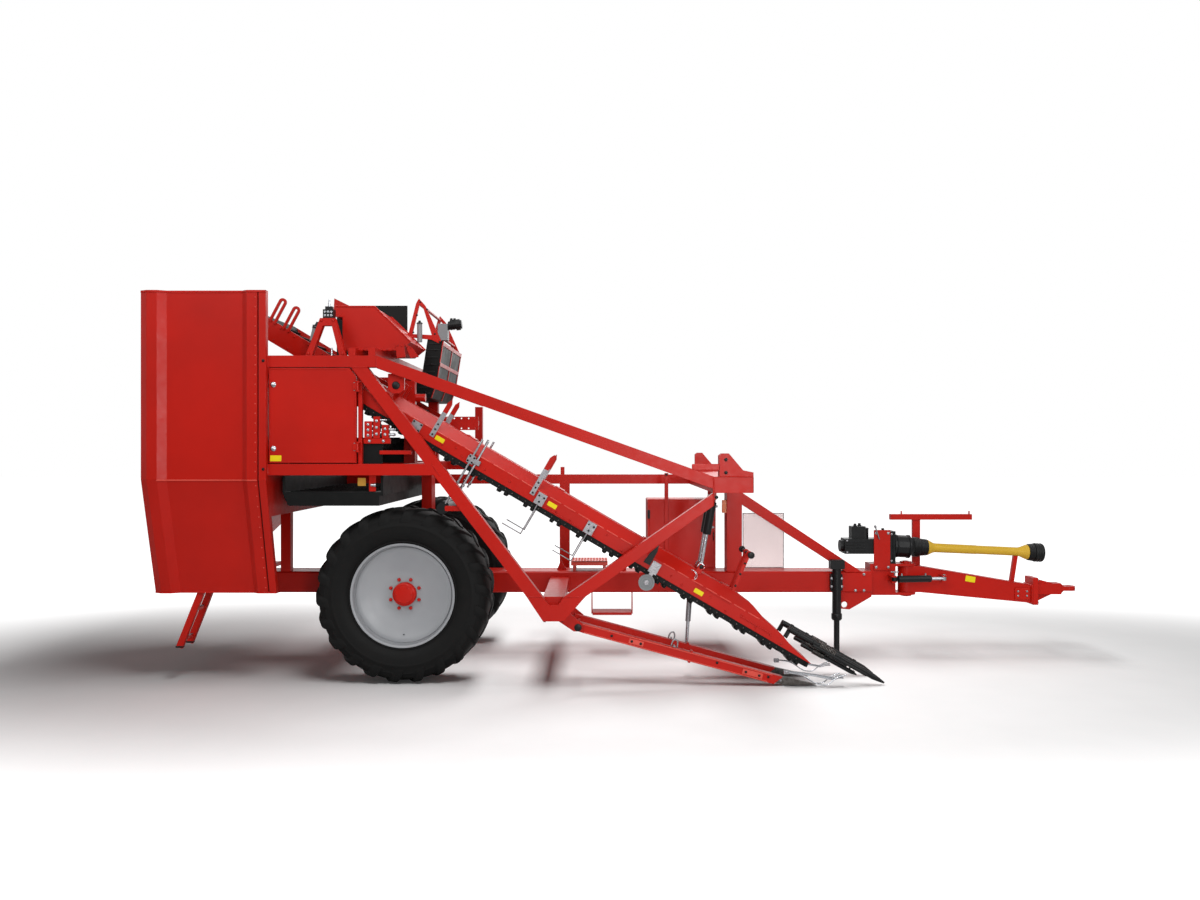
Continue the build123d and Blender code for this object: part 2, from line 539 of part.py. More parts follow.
# ---------------------------------------------------------------- cross conveyor and cleaning bed
TROUGH_Y = (-1150.0, LEFT_RAIL_Y)
TROUGH_X = (-1015.0, -146.0)
TROUGH_Z = (1561.0, 1680.0, 1818.0)              # underside, floor and top of its sides
TROUGH_T = 20.0
TROUGH_FRONT = -182.0
TROUGH_LIP = 30.0
TROUGH_FLOOR = ((-968.0, TROUGH_Z[0]), (TROUGH_FRONT, TROUGH_Z[0]), (TROUGH_FRONT, TROUGH_Z[1]),
                (TROUGH_X[0], TROUGH_Z[1]))
save("cross_conveyor",
     side_prism(TROUGH_FLOOR, *TROUGH_Y)
     + block(TROUGH_FRONT, TROUGH_X[1], *TROUGH_Y, TROUGH_Z[1] - TROUGH_LIP, TROUGH_Z[1]),
     block(TROUGH_X[0], TROUGH_X[0] + TROUGH_T, *TROUGH_Y, TROUGH_Z[1], TROUGH_Z[2]),
     block(TROUGH_X[1] - TROUGH_T, TROUGH_X[1], *TROUGH_Y, TROUGH_Z[1], TROUGH_Z[2]))

BED_NEAR = (-950.0, -150.0, -TRUSS_IN, -TRUSS_IN + 15.0, RAIL_BOTTOM, 2150.0)
BED_FAR = (BUNKER_FRONT, 30.0, -600.0, -585.0, RAIL_TOP, 2150.0)
BED_ROLLERS_X = (-850.0, -690.0, -530.0, -370.0, -210.0)
BED_ROLLER = (2070.0, 55.0)                      # Z and radius
BED_BRACKET = (-310.0, CROSS_X[0] - SEAT_GAP, -650.0, -600.0, 2010.0, 2056.0)
BED_MOTOR = ((-240.0, -720.0, 2125.0), (-90.0, -720.0, 2125.0), 32.0)
BED_MOTOR_SEAT = (-180.0, -120.0, -752.0, -600.0, 2095.0, 2130.0)
save("cleaning_rollers", block(*BED_NEAR), block(*BED_FAR),
     *[cross_bar(x, *BED_ROLLER, BED_NEAR[3], BED_FAR[2]) for x in BED_ROLLERS_X],
     block(*BED_BRACKET), bar(*BED_MOTOR) + block(*BED_MOTOR_SEAT))

# ---------------------------------------------------------------- leaf hood
HOOD = ((-604.0, 3217.0), (-604.0, 3301.0), (-256.0, 3301.0), (60.0, 2992.0), (-37.0, 2914.0),
        (-537.0, 2914.0), (-537.0, 3211.0))
HOOD_Y = (-1000.0, -300.0)
HOOD_FOOT = 2914.0
HOOD_TUBES_X = (-420.0, -250.0)
HOOD_TUBE_W = 60.0
FLAPS = (((-68.0, 2965.0), (0.0, 2985.0), (20.0, 2860.0), (-60.0, 2850.0)),
         ((15.0, 2975.0), (75.0, 2945.0), (135.0, 2860.0), (60.0, 2850.0)))
FLAP_Y = (HOOD_Y[0] - 8.0, HOOD_Y[0])
save("leaf_hood", side_prism(HOOD, *HOOD_Y), *[side_prism(outline, *FLAP_Y) for outline in FLAPS],
     *[block(x, x + HOOD_TUBE_W, -TRUSS_Y, TRUSS_Y, CHORD_TOP, HOOD_FOOT) for x in HOOD_TUBES_X])

# ---------------------------------------------------------------- bunker elevator
ELEV_TOP = (-1450.0, 3225.0)
ELEV_FOOT = (110.0, 2290.0)
ELEV_Y = (-550.0, 450.0)
ELEV_H = 180.0
ELEV_SIDE = 25.0
ELEV_LEAN = atan2(ELEV_TOP[1] - ELEV_FOOT[1], ELEV_FOOT[0] - ELEV_TOP[0])
ELEV_SIDES_Y = (ELEV_Y[0], ELEV_Y[1] - ELEV_SIDE)


def on_elevator(run, rise):
    """X and Z of a point this far down the elevator and this far above its middle line."""
    return (ELEV_TOP[0] + run * cos(ELEV_LEAN) + rise * sin(ELEV_LEAN),
            ELEV_TOP[1] - run * sin(ELEV_LEAN) + rise * cos(ELEV_LEAN))


# hoops over the upper end: run of each, length, width, bar, thickness, lean and seat
HOOP_RUNS = (120.0, 265.0)
HOOP_LEN = 250.0
HOOP_W = 76.0
HOOP_BAR = 26.0
HOOP_T = 14.0
HOOP_LEAN = -62.0
HOOP_SINK = 20.0
ELEV_LEG_X = (-50.0, 30.0)
ELEV_LEG_TOP = 2240.0
ELEV_POST = (*CROSS_X, 520.0, 600.0, RAIL_TOP, 2540.0)
elevator = [slant(ELEV_TOP, ELEV_FOOT, ELEV_H, y, y + ELEV_SIDE) for y in ELEV_SIDES_Y]
for run in HOOP_RUNS:
    hoop = SlotOverall(HOOP_LEN * 2, HOOP_W)
    hoop -= SlotOverall(HOOP_LEN * 2 - 2 * HOOP_BAR, HOOP_W - 2 * HOOP_BAR)
    hoop = extrude(Plane.XZ * hoop, HOOP_T)
    hoop -= block(-HOOP_LEN - PAST, 0, -HOOP_T - PAST, HOOP_T + PAST, -HOOP_W, HOOP_W)
    x, z = on_elevator(run, ELEV_H / 2 - HOOP_SINK)
    elevator.append(Pos(x, ELEV_Y[0], z) * Rot(0, HOOP_LEAN, 0) * hoop)
for y in ELEV_SIDES_Y:
    leg = block(*ELEV_LEG_X, y, y + ELEV_SIDE, RAIL_TOP, ELEV_LEG_TOP)
    elevator.append(leg - slant(ELEV_TOP, ELEV_FOOT, ELEV_H, y - PAST, y + ELEV_SIDE + PAST))
save("bunker_elevator", *elevator, block(*ELEV_POST))

WEB_RUN = (-30.0, 1700.0)
WEB_LAYERS = ((-50.0, 60.0), (10.0, 30.0))       # rise and height of the belt's two runs
FLIGHT_FIRST = 60.0
FLIGHT_PITCH = 155.0
FLIGHT_COUNT = 11
FLIGHT_T = 14.0
FLIGHT_H = 90.0
FLIGHT_RISE = 20.0
FLIGHT_IN = 15.0
WEB_HEAD = (-10.0, 40.0, 52.0)                   # run, rise and radius
WEB_Y = (ELEV_Y[0] + ELEV_SIDE, ELEV_Y[1] - ELEV_SIDE)
web = [slant(on_elevator(WEB_RUN[0], rise), on_elevator(WEB_RUN[1], rise), high, *WEB_Y)
       for rise, high in WEB_LAYERS]
web = web[0] + web[1]
for index in range(FLIGHT_COUNT):
    run = FLIGHT_FIRST + index * FLIGHT_PITCH
    web += slant(on_elevator(run, FLIGHT_RISE), on_elevator(run + FLIGHT_T, FLIGHT_RISE), FLIGHT_H,
                 WEB_Y[0] + FLIGHT_IN, WEB_Y[1] - FLIGHT_IN)
save("elevator_belt", web, cross_bar(*on_elevator(*WEB_HEAD[:2]), WEB_HEAD[2], *WEB_Y))

# ---------------------------------------------------------------- leaf discharge
DISCHARGE = ((-105.0, 2540.0), (110.0, 2540.0), (160.0, 2680.0), (225.0, 3080.0), (80.0, 3110.0),
             (30.0, 2790.0), (-105.0, 2700.0))
DISCHARGE_Y = (-280.0, 900.0)
SHEET = (-786.0, -112.0, -292.0, -284.0, 2950.0, 3420.0)
SHEET_FOOT_IN = 10.0
sheet = block(*SHEET)
for x in HOOD_TUBES_X:
    sheet += block(x + SHEET_FOOT_IN, x + HOOD_TUBE_W - SHEET_FOOT_IN, SHEET[2], SHEET[3], HOOD_FOOT, SHEET[4])
save("leaf_conveyor", side_prism(DISCHARGE, *DISCHARGE_Y), sheet)

HEAD_FRAME = ((-110.0, 3120.0), (-30.0, 3440.0), (-3.0, 3490.0), (60.0, 3420.0), (210.0, 3085.0),
              (190.0, 3060.0), (120.0, 3095.0))
HEAD_HOLE = ((-62.0, 3150.0), (5.0, 3430.0), (40.0, 3395.0), (120.0, 3140.0))
DISCHARGE_HEAD_Y = (DISCHARGE_Y[0] - 12.0, DISCHARGE_Y[1])
HEAD_T = 12.0
HEAD_BARS = ((0.0, 3440.0), (150.0, 3160.0))
HEAD_BAR_R = 14.0
SHEET_GUSSET = ((-815.0, 3330.0), (-807.0, 3489.0), (-667.0, 3420.0), (-640.0, 3330.0))
SHEET_GUSSET_Y = (SHEET[2] - 8.0, SHEET[2])
EDGE_STRIP = ((225.0, 3080.0), (237.0, 3085.0), (75.0, 2545.0), (60.0, 2548.0))
discharge = [side_prism(HEAD_FRAME, y, y + HEAD_T) - side_prism(HEAD_HOLE, y - PAST, y + HEAD_T + PAST)
             for y in DISCHARGE_HEAD_Y]
discharge += [cross_bar(x, z, HEAD_BAR_R, *DISCHARGE_Y) for x, z in HEAD_BARS]
discharge.append(side_prism(SHEET_GUSSET, *SHEET_GUSSET_Y))
discharge.append(side_prism(EDGE_STRIP, DISCHARGE_HEAD_Y[0], DISCHARGE_Y[0])
                 - side_prism(DISCHARGE, DISCHARGE_HEAD_Y[0] - PAST, DISCHARGE_Y[1]))
save("discharge_frame", *discharge)

# valve block on the stand, hydraulic motor on the discharge head
VALVE = (-640.0, -550.0, -1240.0, -1165.0, 3170.0 + SEAT_GAP, 3245.0)
VALVE_CAP = (-625.0, -565.0, -1225.0, -1180.0, 3245.0, 3272.0)
MOTOR_SEAT = (270.0, 274.0, -282.0, -198.0, 3193.0, 3250.0)
MOTOR_BODY = ((MOTOR_SEAT[0], -240.0, 3235.0), (400.0, -240.0, 3250.0), 42.0)
MOTOR_BAND = ((345.0, -240.0, 3243.0), (385.0, -240.0, 3248.0), 54.0)
MOTOR_TRIM = (200.0, MOTOR_SEAT[0], -300.0, -180.0, 3000.0, 3400.0)
motor = block(*MOTOR_SEAT) + bar(*MOTOR_BODY) - block(*MOTOR_TRIM) + bar(*MOTOR_BAND)
save("hydraulic_units", block(*VALVE) + block(*VALVE_CAP), motor)

# drives: the discharge's gearbox, its upright motor and the valve stand's accumulator
DRIVE_BOX = (175.0, MOTOR_SEAT[0], DISCHARGE_Y[0] + SEAT_GAP, -190.0, 3092.0, 3250.0)
UPRIGHT = ((10.0, -318.0, 3070.0), (10.0, -318.0, 3245.0), 25.0)
UPRIGHT_LUG = (-5.0, 25.0, -310.0, DISCHARGE_HEAD_Y[0], 3112.0, 3144.0)
BOTTLE = ((-755.0, -1148.0, 2965.0), (-720.0, -1148.0, 3110.0), 32.0)
BOTTLE_LUG = (-740.0, -690.0, STAND_A_Y[1], -1150.0, 3020.0, 3060.0)
save("drive_motors", block(*DRIVE_BOX), bar(*UPRIGHT) + block(*UPRIGHT_LUG), bar(*BOTTLE) + block(*BOTTLE_LUG))

# ---------------------------------------------------------------- cabinet, guard panel and gearbox
CABINET = (2216.0, 2920.0, 440.0, 840.0, LEFT_LOW[1], 1530.0)
PANEL = (3192.0, 3616.0, 400.0, 406.0, BEAM_TOP, 1396.0)
save("cabinet", block(*CABINET))
save("guard_panel", block(*PANEL))

SHAFT_REAR = (4890.0, 1063.0)
SHAFT_FRONT = (6200.0, 1003.0)
SHAFT_Y = SWIVEL_Y
SHAFT_TUBE_R = 42.0
SHAFT_LEN = hypot(SHAFT_FRONT[0] - SHAFT_REAR[0], SHAFT_FRONT[1] - SHAFT_REAR[1])


def on_shaft(distance):
    """Point on the drive line, this far from its rear end."""
    x, z = part_way(SHAFT_REAR, SHAFT_FRONT, distance / SHAFT_LEN)
    return (x, SHAFT_Y, z)


def shaft_z(x):
    """Height of the drive line at x."""
    return SHAFT_REAR[1] + (SHAFT_FRONT[1] - SHAFT_REAR[1]) * (x - SHAFT_REAR[0]) / (SHAFT_FRONT[0] - SHAFT_REAR[0])


GEAR_X = (4543.0, HEAD_FRONT)
GEARBOX = (*GEAR_X, SHAFT_Y - CLEVIS_W / 2, SHAFT_Y + CLEVIS_W / 2, CLEVIS_Z[1][1], 1227.0)
BELL_X = 4855.0
BELL_R = 112.0
PUMP_X = (4185.0, GEAR_X[0])
PUMP_Y = (SHAFT_Y - 90.0, SHAFT_Y + 90.0)
PUMP_Z = (1000.0, 1150.0)
PUMP_HEAD = (4260.0, 4400.0, SHAFT_Y - 60.0, SHAFT_Y + 60.0, PUMP_Z[1], 1273.0)
PUMP_END = ((PUMP_X[0], SHAFT_Y, 1075.0), (4150.0, SHAFT_Y, 1075.0), 60.0)
FILTER = ((4400.0, SHAFT_Y - 30.0, PUMP_Z[1]), (4400.0, SHAFT_Y - 30.0, 1245.0), 36.0)
gearbox = block(*GEARBOX) + bar((GEAR_X[1], SHAFT_Y, shaft_z(GEAR_X[1])), (BELL_X, SHAFT_Y, shaft_z(BELL_X)), BELL_R)
gearbox += block(*PUMP_X, *PUMP_Y, *PUMP_Z) + block(*PUMP_HEAD) + bar(*PUMP_END) + bar(*FILTER)
save("drive_gearbox", gearbox)

# ---------------------------------------------------------------- parking jack
JACK_X = 4070.0
JACK_OUT_R = 43.5
JACK_IN_R = 28.0
JACK_Y = BEAM_Y0 - JACK_OUT_R - 6.0
JACK_Z = (360.0, 950.0)
JACK_SEAT = (JACK_X - 60.0, JACK_X + 60.0, JACK_Y, BEAM_Y0, 650.0, 810.0)
JACK_HEAD = (JACK_X - 70.0, JACK_X + 70.0, JACK_Y - 46.0, JACK_Y + 46.0, 868.0, JACK_Z[1])
JACK_END_T = 20.0
JACK_INSERT = 200.0
JACK_FOOT_R = 75.0
JACK_FOOT_T = 10.0


def at_jack(z):
    """Point on the jack's centre line."""
    return (JACK_X, JACK_Y, z)


jack = bar(at_jack(JACK_Z[0]), at_jack(JACK_Z[1]), JACK_OUT_R, 2 * BAR_SIDES) + block(*JACK_SEAT)
jack += block(*JACK_HEAD)
jack -= rod(at_jack(JACK_Z[0] - PAST), at_jack(JACK_Z[1] - JACK_END_T), JACK_IN_R + RUN_GAP)
save("jack_tube", jack)
save("jack_leg", rod(at_jack(JACK_FOOT_T), at_jack(JACK_Z[0] + JACK_INSERT), JACK_IN_R)
     + bar(at_jack(0.0), at_jack(JACK_FOOT_T), JACK_FOOT_R, 2 * BAR_SIDES))

# ---------------------------------------------------------------- side door
DOOR_T = 40.0
DOOR_Y = (-TRUSS_Y, DOOR_T - TRUSS_Y)
DOOR = ((-1098.0, 1932.0), (-354.0, 1932.0), (-354.0, 2670.0), (-412.0, 2742.0), (-1098.0, 2742.0))
STRAP_X = (HINGE_X - 40.0, HINGE_X - 4.0)
STRAP_Y = (HINGE_Y - 2.0, DOOR_Y[0])
LATCH = (-1060.0, 16.0, 14.0)                    # X, radius and how far it stands out
LATCH_Z = (2055.0, 2600.0)
pin_bore = rod((HINGE_X, HINGE_Y, DOOR[0][1]), (HINGE_X, HINGE_Y, DOOR[3][1]), HINGE_PIN_R + RUN_GAP)
door = side_prism(DOOR, *DOOR_Y)
for z in KNUCKLE_Z:
    knuckle = bar((HINGE_X, HINGE_Y, z), (HINGE_X, HINGE_Y, z + KNUCKLE_H), KNUCKLE_R)
    door += knuckle + block(*STRAP_X, *STRAP_Y, z, z + KNUCKLE_H) - pin_bore
save("side_door", door,
     *[cross_bar(LATCH[0], z, LATCH[1], DOOR_Y[0] - LATCH[2], DOOR_Y[0]) for z in LATCH_Z])

# ---------------------------------------------------------------- lifting channel
UNIT = Pos(UNIT_X, 0, UNIT_Z) * Rot(0, UNIT_SLOPE, 0)
LEAN = radians(UNIT_SLOPE)


def on_unit(run, rise):
    """X and Z of a point this far down the channel and this far above its ridge."""
    return (UNIT_X + run * cos(LEAN) + rise * sin(LEAN), UNIT_Z - run * sin(LEAN) + rise * cos(LEAN))


def off_unit(x, z):
    """Run and rise of a point in X and Z."""
    return ((x - UNIT_X) * cos(LEAN) - (z - UNIT_Z) * sin(LEAN), (x - UNIT_X) * sin(LEAN) + (z - UNIT_Z) * cos(LEAN))


SLOT_W = 70.0               # gap between the two halves, where the leaves hang
CREST_W = 90.0              # the crest's outer edge from the middle
SIDE_LINE = ((UNIT_BACK, -SIDE_H), (UNIT_BACK, CREST_H), (3150.0, CREST_H), (3320.0, 70.0), (3466.0, 17.0),
             (3648.0, -18.0), (3782.0, -68.0), (UNIT_TIP, 6.0 - SIDE_H), (UNIT_TIP, -SIDE_H))
TIE_RUNS = (-500.0, 400.0, 1300.0, 2200.0, 3000.0)
TIE_SIZE = (90.0, 80.0, 10.0)                    # along, half across and height
PIVOT_EAR = (60.0, 20.0, 45.0)                   # half length, thickness and height over the shaft
PIVOT_EARS_Y = (UNIT_MID - CREST_W, UNIT_MID + CREST_W - 20.0)
PIVOT_OUT = 2.0             # the shaft's near end, out from the truss's inner face
EYE_AT = (2758.0, 135.0)    # lift cylinders' lower pins: run and rise
EYE_Y = (UNIT_MID - 80.0, UNIT_MID + 80.0)
EYE_LUG = (24.0, 12.0, 20.0)                     # half length, thickness and height over the pin
EYE_LUG_SINK = 25.0         # how far the lugs reach below the crest, down its sloping side
EYE_LUGS_Y = (-45.0, 33.0)
EYE_PIN_R = 12.0
EYE_PIN_HALF = 45.0
STRUT_AT = (2800.0, -60.0)  # depth strut's upper pin
STRUT_Y = -690.0
STRUT_PIN_R = 12.0
STRUT_PIN_END = STRUT_Y + 26.0

profile = side_prism(SIDE_LINE, UNIT_Y[0] - PAST, UNIT_Y[1] + PAST)
halves = []
for sign in (-1, 1):
    outer_y = UNIT_MID + sign * (UNIT_MID - UNIT_Y[0])
    section = ((outer_y, -SIDE_H), (outer_y, 0.0), (UNIT_MID + sign * CREST_W, CREST_H),
               (UNIT_MID + sign * SLOT_W / 2, CREST_H), (UNIT_MID + sign * SLOT_W / 2, -SIDE_H))
    halves.append(cross_prism(section, UNIT_BACK, UNIT_TIP) & profile)
halves[1] += drum(*STRUT_AT, STRUT_PIN_R, UNIT_Y[1], STRUT_PIN_END)
ties = [block(run, run + TIE_SIZE[0], UNIT_MID - TIE_SIZE[1], UNIT_MID + TIE_SIZE[1],
              CREST_H, CREST_H + TIE_SIZE[2]) for run in TIE_RUNS]
pivot_run, pivot_rise = off_unit(PIVOT_X, PIVOT_Z)
yoke = drum(pivot_run, pivot_rise, PIVOT_R, PIVOT_OUT - TRUSS_IN, STAND_Y[1])
for y in PIVOT_EARS_Y:
    yoke += block(pivot_run - PIVOT_EAR[0], pivot_run + PIVOT_EAR[0], y, y + PIVOT_EAR[1],
                  CREST_H, pivot_rise + PIVOT_EAR[2])
eyes = []
for half, y in zip(halves, EYE_Y):
    pair = drum(*EYE_AT, EYE_PIN_R, y - EYE_PIN_HALF, y + EYE_PIN_HALF)
    for side in EYE_LUGS_Y:
        pair += block(EYE_AT[0] - EYE_LUG[0], EYE_AT[0] + EYE_LUG[0], y + side, y + side + EYE_LUG[1],
                      CREST_H - EYE_LUG_SINK, EYE_AT[1] + EYE_LUG[2])
    eyes.append(pair - half)

# ---------------------------------------------------------------- fittings on the channel
FACES = ((UNIT_Y[0], -1), (UNIT_Y[1], 1))        # side face, outward direction in Y


def on_face(face, out, low, high):
    """Y range of something that stands off a side face by low to high."""
    return (face + out * low, face + out * high) if out > 0 else (face + out * high, face + out * low)


# levers on both side faces: run, width, thickness, foot, joint and tip above the ridge
LEVERS = ((155.0, 43.0, 8.0, -60.0, 175.0, 308.0),
          (1160.0, 43.0, 8.0, -60.0, 190.0, 340.0))
ROD_RUN = 555.0             # slide rods of the feed roller
ROD_RISE = (-566.0, 141.0)
ROD_R = 9.5
ROD_OFF = 12.0
CLAMP = (30.0, 23.0, -95.0, -20.0)               # half length, thickness, foot and top
WIRES = ((1247.0, -400.0, 185.0), (1743.0, -384.0, 185.0))    # run, foot's rise, run back along the channel
WIRE_TOP = -60.0
WIRE_R = 5.0
WIRE_OFF = 6.0
WIRE_PLATE = (42.5, 14.0, -110.0, -2.0)          # half length, thickness, foot and top
TOP_PLATE = (-50.0, 45.0, -88.0, -8.0, 6.0)      # run, rise and thickness
fittings = []
tips = []
for face, out in FACES:
    for run, width, thick, foot, joint, tip in LEVERS:
        y = on_face(face, out, 0.0, thick)
        half = width / 2
        fittings.append(block(run - half, run + half, *y, foot, joint))
        tips.append(side_prism([(run - half, joint), (run - half, tip - width), (run, tip),
                                (run + half, tip - width), (run + half, joint)], *y))
    y = face + out * ROD_OFF
    slide = bar((ROD_RUN, y, ROD_RISE[0]), (ROD_RUN, y, ROD_RISE[1]), ROD_R)
    fittings.append(slide + block(ROD_RUN - CLAMP[0], ROD_RUN + CLAMP[0], *on_face(face, out, 0.0, CLAMP[1]),
                                  CLAMP[2], CLAMP[3]))
    y = face + out * WIRE_OFF
    for run, foot, back in WIRES:
        wire = bar((run, y, WIRE_TOP), (run, y, foot), WIRE_R, WIRE_SIDES)
        wire += bar((run + WIRE_R, y, foot), (run - back, y, foot), WIRE_R, WIRE_SIDES)
        fittings.append(wire + block(run - WIRE_PLATE[0], run + WIRE_PLATE[0],
                                     *on_face(face, out, 0.0, WIRE_PLATE[1]), WIRE_PLATE[2], WIRE_PLATE[3]))
fittings.append(block(*TOP_PLATE[:2], *on_face(*FACES[0], 0.0, TOP_PLATE[4]), *TOP_PLATE[2:4]))

# guide wheel under the near side, on an arm that ends in its pin
GUIDE = (2400.0, -215.0)
GUIDE_R = 70.0
GUIDE_DISH = (56.0, 30.0, 8.0)                   # outer and inner radius of the dish, depth
GUIDE_Y = (-1158.0, -1132.0)
GUIDE_PIN_R = 12.0
GUIDE_CAP = (20.0, 5.0)
ARM_FOOT = (18.0, 9.0, -20.0)                    # half length, thickness, below the wheel's centre
ARM_HEAD = (40.0, 14.0, -125.0, -20.0)
guide_arm = block(GUIDE[0] - ARM_FOOT[0], GUIDE[0] + ARM_FOOT[0], *on_face(*FACES[0], 0.0, ARM_FOOT[1]),
                  GUIDE[1] + ARM_FOOT[2], ARM_HEAD[2] + PAST)
guide_arm += block(GUIDE[0] - ARM_HEAD[0], GUIDE[0] + ARM_HEAD[0], *on_face(*FACES[0], 0.0, ARM_HEAD[1]),
                   ARM_HEAD[2], ARM_HEAD[3])
guide_arm += drum(*GUIDE, GUIDE_PIN_R, GUIDE_Y[0] - SEAT_GAP, UNIT_Y[0])
guide_arm += drum(*GUIDE, GUIDE_CAP[0], GUIDE_Y[0] - SEAT_GAP - GUIDE_CAP[1], GUIDE_Y[0] - SEAT_GAP)
fittings.append(guide_arm)
guide = drum(*GUIDE, GUIDE_R, *GUIDE_Y)
guide -= (cross_bar(*GUIDE, GUIDE_DISH[0], GUIDE_Y[0] - PAST, GUIDE_Y[0] + GUIDE_DISH[2], 2 * BAR_SIDES)
          - cross_bar(*GUIDE, GUIDE_DISH[1], GUIDE_Y[0] - PAST, GUIDE_Y[0] + GUIDE_DISH[2], 2 * BAR_SIDES))
guide -= drum(*GUIDE, GUIDE_PIN_R + RUN_GAP, GUIDE_Y[0] - PAST, GUIDE_Y[1] + PAST)
save("guide_wheel", UNIT * guide)
save("channel_fittings", *[UNIT * piece for piece in fittings])

# feed roller between the slide rods, blade, and the cross shaft of the twin arms at the nose
FEED_RISE = -536.0
FEED_R = 50.0
FEED_INTO = 3.0             # the roller's ends wrap this far around the rods
feed_y = (UNIT_Y[0] - ROD_OFF + ROD_R + SEAT_GAP - FEED_INTO, UNIT_Y[1] + ROD_OFF - ROD_R - SEAT_GAP + FEED_INTO)
feed = cross_bar(ROD_RUN, FEED_RISE, FEED_R, *feed_y, 2 * BAR_SIDES)
for face, out in FACES:
    y = face + out * ROD_OFF
    feed -= bar((ROD_RUN, y, ROD_RISE[0] - FEED_R), (ROD_RUN, y, ROD_RISE[1]), ROD_R)
BLADE = ((2290.0, -75.0), (2352.0, -75.0), (2352.0, 60.0), (2335.0, 118.0), (2300.0, 20.0))
BLADE_T = 6.0
HORN = ((3112.0, 80.0), (3069.0, 442.0))
HORN_Y = (-1010.0, -840.0)
HORN_T = 14.0
HORN_W = 30.0
HORN_EYE_R = 26.0
SHAFT_END = ((-1120.0, -1085.0), (-640.0, -600.0))
SHAFT_R = (13.0, 22.0)
horn_shaft = cross_bar(*HORN[1], SHAFT_R[0], SHAFT_END[0][1], SHAFT_END[1][0])
for y in SHAFT_END:
    horn_shaft += cross_bar(*HORN[1], SHAFT_R[1], *y)
blade = side_prism(BLADE, *on_face(*FACES[0], 0.0, BLADE_T))
save("channel_rollers", UNIT * feed, UNIT * blade, UNIT * horn_shaft)
horns = []
for y in HORN_Y:
    horn = slant(*HORN, HORN_W, y, y + HORN_T) + cross_bar(*HORN[1], HORN_EYE_R, y, y + HORN_T)
    horns.append(horn - cross_bar(*HORN[1], SHAFT_R[0], y - PAST, y + HORN_T + PAST))
save("lift_frame", *[UNIT * piece for piece in halves + ties + [yoke] + eyes + tips + horns])

# lugged belts under the channel's two halves
BELT_RISE = (-160.0, -SIDE_H - SEAT_GAP)
BELT_MID = 115.0
BELT_W = 155.0
BELT_OUT = 20.0
BELT_LUG = (34.0, 76.0, 24.0)                    # along, half across and height
BELT_LUG_PAIR = (0.0, 70.0)
BELT_LUG_FIRST = -450.0
BELT_LUG_PITCH = 265.0
BELT_LUG_COUNT = 17
belts = []
for sign in (-1, 1):
    centre = UNIT_MID + sign * BELT_MID
    loop = extrude(SlotOverall(UNIT_TIP - UNIT_BACK + BELT_OUT, BELT_W), BELT_RISE[1] - BELT_RISE[0])
    loop = Pos((UNIT_TIP + UNIT_BACK) / 2, centre, BELT_RISE[0]) * loop
    for index in range(BELT_LUG_COUNT):
        for shift in BELT_LUG_PAIR:
            run = BELT_LUG_FIRST + index * BELT_LUG_PITCH + shift
            loop += block(run, run + BELT_LUG[0], centre - BELT_LUG[1], centre + BELT_LUG[1],
                          BELT_RISE[0] - BELT_LUG[2], BELT_RISE[0] + PAST)
    belts.append(UNIT * loop)
save("lift_belts", *belts)

# ---------------------------------------------------------------- crop dividers at the nose
DIVIDER_REAR = (3380.0, 480.0)
DIVIDER_FRONT = (4120.0, 62.0)
DIVIDER_Y = 150.0           # from the channel's middle
DIVIDER_FLARE = 20.0
DIVIDER_R = 26.0
DIVIDER_TIP = (90.0, 8.0)   # length and end radius
UNDER_REAR = (3480.0, 350.0)
UNDER_FRONT = (3960.0, 86.0)
UNDER_FLARE = 12.0
UNDER_R = 19.0
UNDER_TIES_X = (3520.0, 3900.0)
UNDER_TIE = (14.0, 9.0, 80.0)                    # half along, half across and height
DIVIDER_SEAT = (3675.0, 3710.0, 12.0, -27.7, 45.0)    # run, half across and rise


def divider(sign):
    """Black tube with a point, the thinner tube under it and its seat on the channel's nose."""
    y = UNIT_MID + sign * DIVIDER_Y
    front_y = y + sign * DIVIDER_FLARE
    tube = bar((DIVIDER_REAR[0], y, DIVIDER_REAR[1]), (DIVIDER_FRONT[0], front_y, DIVIDER_FRONT[1]), DIVIDER_R)
    ahead = (DIVIDER_FRONT[0] - DIVIDER_REAR[0], sign * DIVIDER_FLARE, DIVIDER_FRONT[1] - DIVIDER_REAR[1])
    point = Plane(origin=(DIVIDER_FRONT[0], front_y, DIVIDER_FRONT[1]), z_dir=ahead)
    tube += point * loft([RegularPolygon(DIVIDER_R, BAR_SIDES),
                          Pos(0, 0, DIVIDER_TIP[0]) * RegularPolygon(DIVIDER_TIP[1], BAR_SIDES)], ruled=True)
    tube += bar((UNDER_REAR[0], y, UNDER_REAR[1]), (UNDER_FRONT[0], y + sign * UNDER_FLARE, UNDER_FRONT[1]), UNDER_R)
    for x in UNDER_TIES_X:
        z = part_way(DIVIDER_REAR, DIVIDER_FRONT, (x - DIVIDER_REAR[0]) / (DIVIDER_FRONT[0] - DIVIDER_REAR[0]))[1]
        tube += block(x - UNDER_TIE[0], x + UNDER_TIE[0], y - UNDER_TIE[1], y + UNDER_TIE[1], z - UNDER_TIE[2], z)
    seat = block(*DIVIDER_SEAT[:2], y - DIVIDER_SEAT[2], y + DIVIDER_SEAT[2], *DIVIDER_SEAT[3:])
    return tube + UNIT * seat


save("crop_dividers", divider(-1), divider(1))

